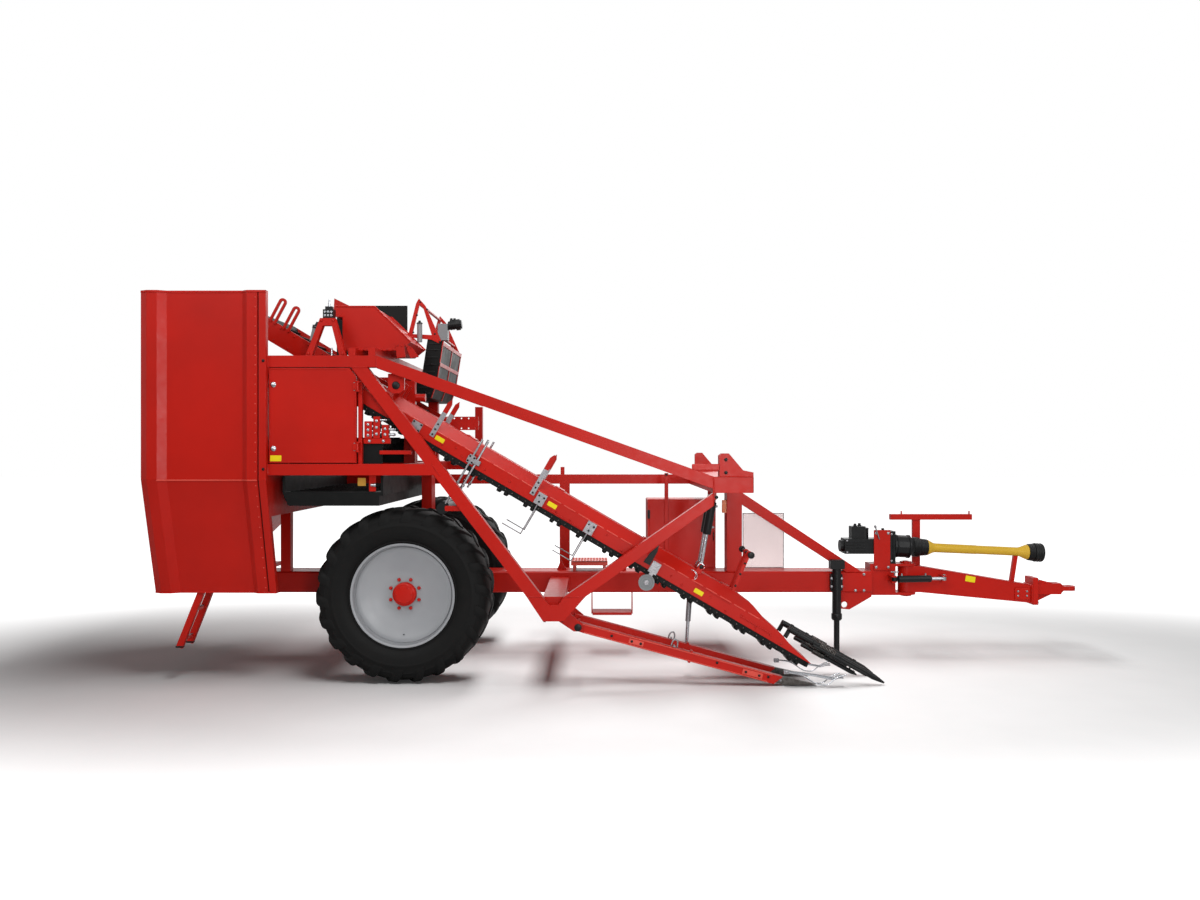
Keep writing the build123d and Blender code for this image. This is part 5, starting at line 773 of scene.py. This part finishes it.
bottle = [turned([(33.5, s), (36, s + 2), (36, s + 12), (33.5, s + 14)], (-755, -1148, 2965), BOTTLE_AXIS, 24)
          for s in (4, 128)]
piece("motor_rings", motor_rings + bottle
      + [turned([(37, 0), (37, 8), (22, 12), (14, 30), (14, 40), (6, 42)], (-720, -1148, 3108), BOTTLE_AXIS, 20),
         turned([(29, 0), (29, 8), (20, 14), (12, 16), (12, 30), (5, 32)], (10, -318, 3243), Z, 20)],
      BLACK)

# %% [markdown]
# ## The oil valves beside the door
# A bank of spool valves sits at the front end of the cleaning bed. Each spool is a bright
# turned body in a red block, with a black coil on its end. The bank is one table of places.

# %% Valve bank, clamps and pipe ends under the rail
BANK_Y = -1171
bank = [plate((x, BANK_Y - 8, z), X, Z, size, 5, 2.5) for x, z, size in (
    (-262, 2215, (66, 150, 56)), (-190, 2236, (58, 190, 50)), (-116, 2200, (60, 120, 54)),
    (-30, 2022, (276, 34, 30)), (-190, 2120, (230, 46, 40)))]
piece("valve_bank_blocks", bank, RED, bevel=2)
spool = turned([(15, -2), (15, 10), (11, 12), (11, 34), (14, 36), (14, 46), (9, 50), (9, 58), (0.5, 60)],
               (0, 0, 0), X, 20)
plug = turned([(13, 0), (13, 6), (9, 6), (9, 14), (6, 15), (0.5, 15)], (0, 0, 0), -Y, 6)
spools = [(-232, BANK_Y - 14, z) for z in (2168, 2205, 2245)] + [(-162, BANK_Y - 10, z) for z in (2190, 2300)]
spools += [(-88, BANK_Y - 12, z) for z in (2175, 2220)]
plugs = [(x, BANK_Y - 34, z) for x, z in (
    (-262, 2170), (-262, 2215), (-262, 2262), (-190, 2180), (-190, 2236), (-190, 2292), (-116, 2176),
    (-116, 2224), (-250, 2120), (-130, 2120))]
piece("valve_spools", [many(spool, spools), many(plug, plugs),
                       turned([(14, 0), (14, 26), (18, 28), (18, 44), (10, 48), (0.5, 48)],
                              (-248, -1165, 1741), X, 18)],
      CHROME)
coils = turned([(17, 0), (19, 2), (19, 24), (17, 26), (0.5, 26)], (0, 0, 0), X, 20)
piece("valve_coils", [many(coils, [(x + 60, y, z) for x, y, z in spools[::2]]),
                      turned([(34, 0), (34, 4), (24, 9), (0.5, 9)], (-31, -1171, 2599), -Y, 24)],
      BLACK)
piece("feed_motor", [turned([(0.5, -62), (50, -60), (50, -8), (46, -5), (0.5, -5)], (362, -1160, 1538), -Y, 32)],
      BLACK, CHANNEL)
pipe_mounts = [plate((465, -1169, 1540), X, Z, (150, 46, 12), 8, 2),
               plate((-238, -1150, 1760), X, Z, (60, 150, 8), 6, 2)]
piece("pipe_mounts", pipe_mounts, RED)
piece("trough_scraper", [plate((-328, -1158, 1768), X, Z, (70, 70, 10), 6, 2)], YELLOW_STRIP)
roller_coils = [coil((x, -1150, 2070), (x, -605, 2070), 55, 5, 9) for x in (-850, -690, -530, -370, -210)]
piece("roller_spirals", roller_coils, BELT)
trough_ribs = [plate((-590, y, 1680), X, Y, (740, 14, 16), 4, 3) for y in rail(-1100, 800, 16)]
piece("trough_belt_ribs", trough_ribs, BELT)

# %% [markdown]
# ## Pins, seals and ports of the cylinders
# An oil cylinder shows a gland nut where the rod comes out, two ports on the barrel and a
# nipple on each eye. All are lathe profiles on the cylinder's own line.

# %% Cylinder glands, ports and pins
TOP_PIN, LOW_PIN = np.array([2720, 0, 1630]), np.array([2612.6, 0, 1021.4])
DOWN = (LOW_PIN - TOP_PIN) / np.linalg.norm(LOW_PIN - TOP_PIN)
LIFT_SIDES = (-1000, -840)
CAP = [(30, 0), (30, 5), (20, 9), (0.5, 9)]
glands, pins, ports = [], [], []
for y in LIFT_SIDES:
    base = TOP_PIN + y * Y
    glands += [turned([(36, 296), (41, 298), (41, 326), (36, 332), (26, 332), (26, 296)], base, DOWN, 6,
                      closed=True),
               turned([(36, 44), (40, 46), (40, 62), (36, 64)], base, DOWN, 28, closed=True)]
    ports += [turned([(12, 30), (12, 44), (9, 46), (9, 56), (5, 57), (0.5, 57)], base + away * DOWN, X, 14)
              for away in (84, 270)]
    pins += [turned([(21, 22), (21, 27), (16, 30), (0.5, 30)], base, way * Y, 20) for way in (-1, 1)]
piece("cylinder_glands", glands, BLACK, "lift_cylinders")
piece("cylinder_ports", ports, ZINC, "lift_cylinders")
piece("portal_pin_heads", pins, ZINC)
eye_pins = [turned([(19, 45), (19, 50), (13, 54), (0.5, 54)], (2758, y, 135), way * Y, 20)
            for y in LIFT_SIDES for way in (-1, 1)]
eye_pins += [turned(CAP, (3069, y, 442), way * Y, 24) for y, way in ((-1120, -1), (-600, 1))]
horn_bolts = [(3069 + (442 - rise) * 0.1188, -1010, rise) for rise in (140, 250, 352)]
piece("channel_pin_heads", eye_pins + [bolts(horn_bolts, -Y, 9, 8)], BLACK, CHANNEL, on_channel)
turn = np.linspace(-0.4, 2.5, 18)
loops = [np.stack([2705 + 6 * k + (44 + 6 * k) * np.sin(turn), np.full(18, -1090 - 12 * k),
                   36 + 40 * np.cos(turn)], axis=-1) for k in (0, 1)]
piece("nose_wires", [swept(path, 3.2, Y, 8) for path in loops], CHROME, CHANNEL, on_channel)

STEER_BACK, STEER_EYE = np.array([4640, 40, 765]), np.array([5150, 95, 765])
AHEAD = (STEER_EYE - STEER_BACK) / np.linalg.norm(STEER_EYE - STEER_BACK)
steer = [turned([(32, 340), (37, 342), (37, 370), (32, 376), (18, 376), (18, 340)], STEER_BACK, AHEAD, 6,
                closed=True),
         turned([(33, 36), (36, 38), (36, 52), (33, 54)], STEER_BACK, AHEAD, 28, closed=True)]
piece("steering_gland", steer, BLACK, "steer_cylinder")
piece("steering_ports", [turned([(10, 28), (10, 42), (8, 43), (8, 54), (0.5, 54)], STEER_BACK + s * AHEAD, Z, 14)
                         for s in (75, 320)], ZINC, "steer_cylinder")
handle = [turned([(6, 799), (6, 838), (0.5, 839)], (4640, 40, 0), Z, 12),
          turned([(5, -38), (7, -36), (7, 36), (5, 38)], (4640, 40, 836), X, 12)]
piece("steering_rear_pin", handle, ZINC)
piece("steering_front_pin", [turned([(14, 796), (14, 803), (8, 806), (0.5, 806)], (5150, 95, 0), Z, 16)],
      ZINC, SWING)

# %% [markdown]
# ## Share arms, guards and springs at the nose
# The lifting shares hang on two arms whose plates are folded along the edges. Bent bright wires
# keep leaves off the points, and coil springs sit on the black divider tubes. A coil is a
# helix: the wire's section follows the circle's own radius and the direction of the axis.

# %% Share arms, wire guards, divider springs
ARM_FACE = -1140
arm_trim = [plate((880, ARM_FACE - 2.5, rise), X, Z, (long, 9, 5), 2, 1.5)
            for rise, long in ((33, 1700), (-33, 1640))]
arm_trim += [plate((run, ARM_FACE - 3, 0), X, Z, size, 6, 2)
             for run, size in ((520, (130, 44, 6)), (1560, (180, 46, 6)))]
# The fold strips are the lighter red: a painted highlight along the arm's edges.
piece("arm_folds", arm_trim, RED_PAINTED_HIGHLIGHT, SHARE, on_arm)
arm_bolts = [(run, ARM_FACE - 6, 0) for run in (480, 560, 1500, 1620)]
arm_bolts += [(1700, ARM_FACE, 8), (300, ARM_FACE, 0), (1240, ARM_FACE, 12)]
bow = np.linspace(0, np.pi, 15)
bows = [np.stack([849 + 26 * np.cos(bow), np.full(15, y), 46 + 62 * np.sin(bow) ** 0.7], axis=-1)
        for y in (-1105, -765)]
piece("arm_bolts", both_sides(arm_bolts, -730, 10, 9), BLACK, SHARE, on_arm)
piece("arm_shackles", [swept(path, 7, Y, 10) for path in bows]
      + [turned([(9, -24), (9, 24), (5, 26), (0.5, 26)], (849, y, 50), Y, 12) for y in (-1105, -765)],
      ZINC, SHARE, on_arm)
piece("arm_pivot_caps", [turned([(32, 0), (32, 6), (22, 11), (0.5, 11)], (1537, ARM_FACE - 29, 514), -Y, 24)],
      BLACK)


WIRE_X, WIRE_Z = 3330, 132           # where the guard wires leave their seats


def guard_wire(y, drop):
    """Bent wire from its seat: x = x0 + 10 + 480 s, z = z0 - 62 s^1.4 - drop s, its tip turned up."""
    share = np.linspace(0, 1, 26)
    tip = np.clip((share - 0.82) / 0.18, 0, 1)
    x = WIRE_X + 10 + 480 * share
    z = WIRE_Z - 62 * share ** 1.4 - drop * share + 34 * np.sin(np.pi / 2 * tip)
    return np.stack([x, np.full(26, y), z], axis=-1)


wires = [guard_wire(y, drop) for y, drop in (
    (-1158, 30), (-1172, 14), (-1182, 22), (-1146, 8), (-712, 20), (-700, 10))]
turns = np.array([(WIRE_X, WIRE_Z), (3470, 112), (3590, 30), (3680, 24), (3760, 92), (3850, 118)])
even = np.linspace(0, 5, 61)
smooth = [np.convolve(np.pad(np.interp(even, np.arange(6), line), 4, mode="edge"), np.ones(9) / 9, "valid")
          for line in turns.T]
for y, shift in ((-1196, 0), (-1134, -42), (-688, -20)):
    wires.append(np.stack([smooth[0] + shift * (smooth[0] - WIRE_X) / 520, np.full(61, y), smooth[1]], axis=-1))
wire_seats = [plate((WIRE_X, y, 130), X, Z, (46, 34, 30), 4, 2) for y in (-1160, -710)]
piece("share_guard_wires", [swept(path, 5, Y, 10) for path in wires], CHROME, SHARE)
piece("share_wire_seats", wire_seats + [bolts([(WIRE_X, -1175, 130)], -Y, 9, 8)], ZINC, SHARE)
DIVIDER_BACK, DIVIDER_FRONT = np.array([3380, 480]), np.array([4120, 62])     # X and Z of the main tube
springs, straps, tubes, seats = [], [], [], []
for sign in (-1, 1):
    y = LIFT_Y + sign * 150
    back = np.array([DIVIDER_BACK[0], y, DIVIDER_BACK[1]])
    front = np.array([DIVIDER_FRONT[0], y + sign * 20, DIVIDER_FRONT[1]])
    springs.append(coil(back + 0.34 * (front - back), back + 0.52 * (front - back), 32, 4.5, 11))
    low_back, low_front = np.array([3480, y, 350]), np.array([3960, y + sign * 12, 86])
    springs.append(coil(low_back + 0.2 * (low_front - low_back), low_back + 0.4 * (low_front - low_back),
                        24, 3.5, 10))
    side_back, side_front = np.array([3570, y + sign * 44, 352]), np.array([4060, y + sign * 50, 78])
    for start, end, radius, taper in ((back, front + 0.105 * (front - back), 26, 110),
                                      (low_back, low_front, 19, 60), (side_back, side_front, 13, 40)):
        far = float(np.linalg.norm(end - start))
        tubes.append(turned([(0.5, 0), (radius - 3, 0), (radius, 3), (radius, far - taper),
                             (radius * 0.75, far - 0.6 * taper), (radius * 0.3, far - 3), (0.5, far)],
                            start, end - start, 28))
    for x in (3650, 3900):
        top = float(np.interp(x, *zip(DIVIDER_BACK, DIVIDER_FRONT)))
        tubes.append(plate((x, y + sign * (x - back[0]) * 0.022, top - 44), X, Z, (12, 80, 8), 4, 1.5))
        tubes.append(plate((x + 30, y + sign * 24, top - 66), X, Y, (12, 56, 8), 4, 1.5))
    seats.append(plate((3692.5, y, 8.6), X, Z, (35, 72, 24), 4, 2))
    for share in (0.1, 0.28, 0.6, 0.86):
        straps.append(turned([(27, -14), (31, -12), (31, 12), (27, 14)], back + share * (front - back),
                             front - back, 24))
    straps.append(turned([(27, -8), (24, -16), (0.5, -18), (0.5, -8)], back, front - back, 24))
divider_tubes = piece("divider_tubes", tubes, BLACK, CHANNEL)
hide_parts("crop_dividers")
piece("divider_seats", seats, BLACK, CHANNEL, on_channel)
piece("divider_springs", springs, STEEL, CHANNEL)
piece("divider_straps", straps, BLACK, CHANNEL)
share_bolts = [(x, -1122, 40 + (WIRE_X - x) * 0.14) for x in (3290, 3215)]
piece("share_point_bolts", [bolts(share_bolts, -Y, 9, 7)], ZINC, SHARE)

# %% [markdown]
# ## Beam, step and jack
# A tread plate is rolled with raised almonds so that boots grip. One almond is a low squashed
# dome, and the plate carries a field of them, turned left and right by turns.

# %% Tread plate, jack collar, axle plates and beam bolts
tread_pieces = [plate((1620, BEAM_Y, 931), X, Y, (366, 320, 12), 8, 2)]
tread_pieces += [plate((1620, y, 914), X, Z, (366, 44, 6), 4, 1.5) for y in (103, 417)]
tread_pieces += [plate((x, y, 880), X, Y, (30, 30, 96), 4, 2) for x in (1470, 1770) for y in (150, 370)]
almond = turned([(11, 0), (9, 2), (5, 3.2), (0.5, 3.6)], (0, 0, 0), Z, 10)
stretch = np.array([[1, 0, 0], [0, 0.32, 0], [0, 0, 1]])
EIGHTH = 0.79                      # an eighth of a turn in radians, near enough
spin = np.array([[math.cos(EIGHTH), -math.sin(EIGHTH), 0], [math.sin(EIGHTH), math.cos(EIGHTH), 0], [0, 0, 1]])
spots = [(x, y, 937) for x in np.arange(1456, 1800, 30) for y in np.arange(118, 415, 30)]
left_lean = (almond[0] @ stretch @ spin.T, almond[1])
right_lean = (almond[0] @ stretch @ spin, almond[1])
# The plate and its almonds are the lighter red: a painted highlight on the raised pattern.
piece("tread_plate", tread_pieces + [many(left_lean, spots[::2]), many(right_lean, spots[1::2])], RED_PAINTED_HIGHLIGHT)
jack = [turned([(43, 366), (50, 370), (52, 376), (52, 418), (50, 424), (43, 428)], (4070, 50.5, 0), Z, 32,
               closed=True),
        plate((4070, 50.5, 953), X, Y, (132, 84, 6), 18, 2)]
piece("jack_collars", jack, BLACK)
beam_bolts = [(4355, 100, 645), (4355, 100, 806), (4270, 100, 645), (4021, 50, 690),
              (4119, 50, 690), (4021, 50, 770), (4119, 50, 770)]
guard_bolts = [(x, 149, z) for x in (4490, 4612) for z in (870, 1210)]
axle_bolts = [(x, 88, z) for x in (-95, 95) for z in (655, 800)]
piece("beam_bolts", [bolts(beam_bolts + guard_bolts + axle_bolts, -Y, 12, 10)], ZINC)
axle_plates = [plate((0, BEAM_Y + s, 728), X, Z, (250, 190, 12), 14, 3) for s in (-166, 166)]
piece("axle_plates", axle_plates, RED)

# %% Cabinet, guard sheet, reflector and upright bar
CAB_FACE = 440
cabinet = [plate((2568, y, 1131), X, Z, (664, 757, 5), 10, 2) for y in (CAB_FACE - 2.5, 842.5)]
cabinet += [plate((2568, 640, 1532), X, Y, (690, 386, 6), 12, 2)]
piece("cabinet_doors", cabinet, RED)
upright = [plate((2410, 426, 1353), X, Z, (40, 906, 12), 4, 2),
           plate((2410, 420, 880), X, Z, (90, 100, 12), 6, 2)]
piece("upright_bar", upright + [plate((2630, -1243, 1898), X, Z, (240, 52, 14), 10, 3)], RED)
grip = np.linspace(0, np.pi, 13)
grip_path = np.stack([np.full(13, 2893), CAB_FACE - 4 - 26 * np.sin(grip) ** 0.6, 1155 + 40 * np.cos(grip)], axis=-1)
piece("cabinet_handle", [swept(grip_path, 5, X, 10),
                         *[plate((2230, CAB_FACE - 5, z), X, Z, (26, 90, 8), 4, 2) for z in (900, 1380)],
                         turned([(12, 0), (12, 6), (8, 10), (0.5, 10)], (2410, 418, 1790), -Y, 16)],
      BLACK)
SHEET_X, SHEET_Z = (3192, 3616), (BEAM_TOP, 1396)
edging = [plate((3404, 403, z), X, Z, (424, 5, 9), 2, 1) for z in (SHEET_Z[0] + 5, SHEET_Z[1] - 4)]
edging += [plate((x, 403, 1114), X, Z, (5, 563, 9), 2, 1) for x in (SHEET_X[0] + 4, SHEET_X[1] - 4)]
piece("guard_sheet_edging", edging, BLACK_PLASTIC)
piece("orange_reflector", [plate((2967, 128, 1480), X, Z, (46, 128, 30), 5, 2)], REFLECTOR)

# %% [markdown]
# ## Drawbar and drive shaft
# The shaft runs in a yellow guard tube, a lathe profile that widens into a funnel at its front.
# Its ends are bellows: rings that grow and shrink along the drive line. One wavy profile,
# radius plus a small sine, turned about that line, makes each of them.

# %% Shaft bellows, gearbox and drawbar trim
SHAFT_BACK, SHAFT_AHEAD = np.array([4890, BEAM_Y, 1063]), np.array([6200, BEAM_Y, 1003])
DRIVE = (SHAFT_AHEAD - SHAFT_BACK) / np.linalg.norm(SHAFT_AHEAD - SHAFT_BACK)


FOLD = 4                           # how deep the bellows are folded


def bellows(start, end, first, last, waves):
    """Lathe about the drive line: radius(s) = first + (last - first) s + fold * (1 - cos(2 pi waves s)) / 2."""
    share = np.linspace(0, 1, waves * 8 + 1)
    radius = first + (last - first) * share + FOLD * (1 - np.cos(2 * np.pi * waves * share)) / 2
    outer = np.stack([radius, start + (end - start) * share], axis=-1)
    inner = np.array([(min(first, last) - 6, end), (min(first, last) - 6, start)])
    return turned(np.concatenate([outer, inner]), SHAFT_BACK, DRIVE, 48, closed=True)


LENGTH = float(np.linalg.norm(SHAFT_AHEAD - SHAFT_BACK))
BELL_BACK = (4710, BEAM_Y, 1072)
bells = [bellows(2, 58, 95, 95, 4), bellows(62, 143, 85, 78, 5),
         bellows(LENGTH - 148, LENGTH - 92, 79, 85, 4), bellows(LENGTH - 88, LENGTH - 7, 91, 91, 3),
         turned([(112, 0), (117, 3), (117, 14), (112, 17)], BELL_BACK, DRIVE, 40),
         turned([(112, 120), (118, 124), (118, 140), (110, 144)], BELL_BACK, DRIVE, 40)]
piece("guard_bellows", bells[:4], BLACK_PLASTIC, SWING)
piece("gearbox_bell_rings", bells[4:], BLACK)
guard = [(30, 140), (74, 142), (78, 150), (74, 158), (60, 186), (51, 204), (46, 222), (45, 640), (43, 646)]
guard += [(r, LENGTH - short) for r, short in ((43, 250), (50, 222), (72, 168), (76, 158), (72, 150), (30, 148))]
piece("shaft_guard_tube", [turned(guard, SHAFT_BACK, DRIVE, 48, closed=True)], YELLOW, SWING)
gear_ribs = [plate((x, 164, 1060), X, Z, (8, 260, 10), 3, 2) for x in (4560, 4665)]
gear_ribs += [plate((4290, 168, z), X, Z, (190, 8, 8), 2, 1.5) for z in (1030, 1060, 1090, 1120)]
gear_ribs += [turned([(20, 0), (20, 8), (14, 10), (14, 26), (8, 28), (0.5, 28)], (x, y, z), Z, 16)
              for x, y, z in ((4300, 230, 1273), (4360, 290, 1273), (4580, 230, 1227))]
gear_ribs += [turned([(37, 0), (37, 10), (30, 14), (0.5, 14)], (4400, 230, 1245), Z, 24)]
piece("gearbox_ribs", gear_ribs, BLACK)
gear_bolts = [(x, 165, z) for x in (4578, 4650) for z in (930, 1200)]
gear_bolts += [(x, 170, z) for x in (4205, 4500) for z in (1018, 1132)]
lever = [turned([(6, 0), (6, 120), (10, 124), (12, 136), (10, 148), (0.5, 152)], (4520, 140, 1150),
                (-0.35, -0.1, 1), 14)]
piece("gearbox_bolts", [bolts(gear_bolts, -Y, 9, 8)] + lever, ZINC)
nibs = [plate((x, 376, 1402), X, Z, (12, 34, 14), 4, 2) for x in (4814, 5508)]
gusset = [slab([(6118, 700), (6118, 745), (6290, 700)], y, y + 14) for y in (205, 301)]
gusset += [slab([(6118, 500), (6118, 592), (6310, 592)], 253, 267),
           slab([(6370, 624), (6370, 590), (6400, 624)], 215, 305),
           slab([(6370, 669), (6370, 700), (6400, 669)], 215, 305)]
collar = [turned([(60, 0), (63, 3), (63, 9), (60, 12)], (6470, BEAM_Y, 640), Z, 40)]
tongue_trim = [plate((6061, BEAM_Y, 595), Y, Z, (196, 196, 14), 10, 3),
               plate((5965, 176, 600), X, Z, (150, 120, 12), 8, 3)]
piece("drawbar_trim", nibs + gusset + collar + tongue_trim, RED, SWING)
hitch_bolts = [(6120, y, z) for y in (185, 335) for z in (512, 738)]
piece("hitch_bolts", [bolts(hitch_bolts, X, 13, 11), bolts([(4963, 350, z) for z in (720, 760)], -Y, 10, 8),
                      bolts([(x, 170, z) for z in (580, 625) for x in (5920, 6010)], -Y, 9, 8)], ZINC, SWING)
tongue_place = sloped((4940, 875), 9.59)
piece("drawbar_blank_plate", [plate((520, 180.6, -42), X, Z, (100, 58, 2.4), 6, 0.6)], SIGN, SWING, tongue_place)
tongue_beads = [bead((0, 182, -2), (1120, 182, -2), 3.5)]
piece("drawbar_weld", tongue_beads, RED, SWING, tongue_place)

# %% [markdown]
# ## Ladder and left side
# The ladder's rungs are punched with small rings that grip a boot. The far side has the same
# tubes as the near one, so its joints get the same beads and bolts.

# %% Ladder rungs, left side bolts
grip_ring = turned([(6, 0), (6, 2.5), (4, 3.5), (3, 2.5), (3, 0)], (0, 0, 0), Z, 10, closed=True)
rungs = []
for share in (0.35, 0.86):
    x, z = -1790 - 200 * share, 807 - 507 * share + 12
    rungs += [(x + s, y, z) for s in (-7, 7) for y in rail(-925, -765, 9)]
piece("rung_grips", [many(grip_ring, rungs)], ZINC)
piece("ladder_feet", [plate((-1988, y, 306), X, Y, (64, 48, 16), 6, 3) for y in (-950, -740)],
      BLACK_PLASTIC)
left_bolts = [(x, POST_FACE, z) for x in (1320, 1370) for z in (760, 1650)]
left_bolts += [(x, FAR, z) for x in (-1060, 380) for z in (1850, 1900, 2000)]
left_beads = [bead((1292, POST_FACE, z), (1399, POST_FACE, z)) for z in (733, 1680)]
left_beads += [bead((340, FAR, SILL_TOP), (420, FAR, SILL_TOP)), bead((-180, FAR, RAIL_LOW), (-180, FAR, RAIL_TOP))]
piece("left_bolts", [bolts(left_bolts, Y, 11, 9)], ZINC)
piece("left_welds", left_beads, RED)

# %% [markdown]
# ## Camera, floor and light
# The machine is seen square on from its right, by a level camera at head height. Soft boxes
# light it from both front corners, from above and a little from behind, and a tall narrow one
# draws its edges. The background is white to the camera. The floor is lit by one box overhead
# and by no other, through light linking, so that its shadow stays right below the machine.
# The floor also glows white to the camera, least where the shadow lies.

# %% Camera
SENSOR = 36
FOCAL = 28.29
EYE_POINT = (-0.448, -9.29, 2.043)
camera = bpy.data.objects.new("camera", bpy.data.cameras.new("camera"))
camera.data.sensor_width = SENSOR
camera.data.lens = FOCAL
camera.location = EYE_POINT
camera.rotation_euler = (math.radians(90), 0, 0)
camera.data.clip_end = 200
bpy.context.scene.collection.objects.link(camera)
bpy.context.scene.camera = camera
print("camera at", EYE_POINT, "lens", FOCAL)

# %% World and lamps
WHITE = (1, 1, 1, 1)
FILL = 0.12                        # the room's own light, as the machine sees it
scene = bpy.context.scene
scene.view_settings.view_transform = "Standard"
world = bpy.data.worlds.new("studio")
world.use_nodes = True
scene.world = world
sky = world.node_tree
sky.nodes.clear()
rays = add(sky, "ShaderNodeLightPath")
seen = add(sky, "ShaderNodeMath", {"operation": "MAXIMUM"}, i0=rays.outputs["Is Camera Ray"],
           i1=rays.outputs["Is Transmission Ray"])
seen = add(sky, "ShaderNodeMath", {"operation": "MAXIMUM"}, i0=seen.outputs[0], i1=rays.outputs["Is Glossy Ray"])
fill = add(sky, "ShaderNodeBackground", Color=WHITE, Strength=FILL)
white = add(sky, "ShaderNodeBackground", Color=WHITE, Strength=1)
both = add(sky, "ShaderNodeMixShader", i0=seen.outputs[0], i1=fill.outputs[0], i2=white.outputs[0])
add(sky, "ShaderNodeOutputWorld", Surface=both.outputs[0])

LAMPS = (  # name, place, aimed at, width, height, watts, and whether it lights only the floor
    ("key_box", (-5, -9, 8), (0, 0, 1.2), 7, 5, 430, False),
    ("front_box", (7, -7, 5), (0.5, 0, 1), 6, 4, 265, False),
    ("edge_strip", (1.6, -12, 2.8), (-3, 0, 2.2), 0.9, 4.5, 380, False),
    ("top_box", (0, -0.2, 9), (0, -0.2, 0), 12, 3, 560, False),
    ("floor_box", (0, -0.1, 9), (0, -0.1, 0), 12, 2.4, 1150, True),
    ("back_box", (1, 9, 5), (0, 0, 1.5), 9, 4, 150, False),
)
HOLDERS = []
for name, place, aim, wide, high, watts, floor_only in LAMPS:
    lamp = bpy.data.lights.new(name, "AREA")
    lamp.shape = "RECTANGLE"
    lamp.size, lamp.size_y, lamp.energy = wide, high, watts
    holder = bpy.data.objects.new(name, lamp)
    ahead = np.array(aim) - np.array(place)
    yaw = math.atan2(ahead[1], ahead[0]) - math.pi / 2
    pitch = math.atan2(math.hypot(ahead[0], ahead[1]), -ahead[2])
    holder.location, holder.rotation_euler = place, (pitch, 0, yaw)
    scene.collection.objects.link(holder)
    HOLDERS.append((holder, floor_only))
print(len(LAMPS), "soft boxes")

# %% Floor
FLOOR_HALF = 60
CLOSE = (6, 3)                 # half length and half width of the patch where the shadow lies
GLOW_CLOSE, GLOW_FAR = 0.02, 1  # the floor's own light there, and at about twice that distance
VINYL_PALE, VINYL_DEEP = (0.88, 0.875, 0.875, 1), (0.84, 0.835, 0.835, 1)
corners = [(x * FLOOR_HALF, y * FLOOR_HALF, 0) for x, y in ((-1, -1), (1, -1), (1, 1), (-1, 1))]
floor_mesh = bpy.data.meshes.new("studio_floor")
floor_mesh.from_pydata(corners, [], [(0, 1, 2, 3)])
floor = bpy.data.objects.new("studio_floor", floor_mesh)
scene.collection.objects.link(floor)
floor_material, vinyl, _ = new_material("white_studio_vinyl")
vinyl.nodes.clear()
floor_place = add(vinyl, "ShaderNodeTexCoord").outputs["Object"]
grain = add(vinyl, "ShaderNodeTexNoise", Vector=floor_place, Scale=per_metre(400), Detail=2)
tone = mixed(vinyl, grain.outputs[0], VINYL_PALE, VINYL_DEEP)
matt = add(vinyl, "ShaderNodeBsdfDiffuse", Color=tone)
ellipse = add(vinyl, "ShaderNodeVectorMath", {"operation": "MULTIPLY"}, i0=floor_place,
              i1=(1 / CLOSE[0], 1 / CLOSE[1], 0))
reach = add(vinyl, "ShaderNodeVectorMath", {"operation": "LENGTH"}, i0=ellipse.outputs[0])
level = add(vinyl, "ShaderNodeMapRange", {"interpolation_type": "SMOOTHSTEP"}, Value=reach.outputs["Value"],
            From_Min=0.9, From_Max=1.9, To_Min=GLOW_CLOSE, To_Max=GLOW_FAR)
floor_rays = add(vinyl, "ShaderNodeLightPath")
floor_seen = add(vinyl, "ShaderNodeMath", {"operation": "MAXIMUM"}, i0=floor_rays.outputs["Is Camera Ray"],
                 i1=floor_rays.outputs["Is Transmission Ray"])
power = add(vinyl, "ShaderNodeMath", {"operation": "MULTIPLY"}, i0=floor_seen.outputs[0], i1=level.outputs[0])
glow = add(vinyl, "ShaderNodeEmission", Color=WHITE, Strength=power.outputs[0])
both_looks = add(vinyl, "ShaderNodeAddShader", i0=matt.outputs[0], i1=glow.outputs[0])
add(vinyl, "ShaderNodeOutputMaterial", Surface=both_looks.outputs[0])
floor_mesh.materials.append(floor_material)
for holder, floor_only in HOLDERS:
    lit = bpy.data.collections.new("lit_by_" + holder.name)
    lit.objects.link(floor)
    lit.collection_objects[0].light_linking.link_state = "INCLUDE" if floor_only else "EXCLUDE"
    holder.light_linking.receiver_collection = lit
print("floor", 2 * FLOOR_HALF, "m wide")
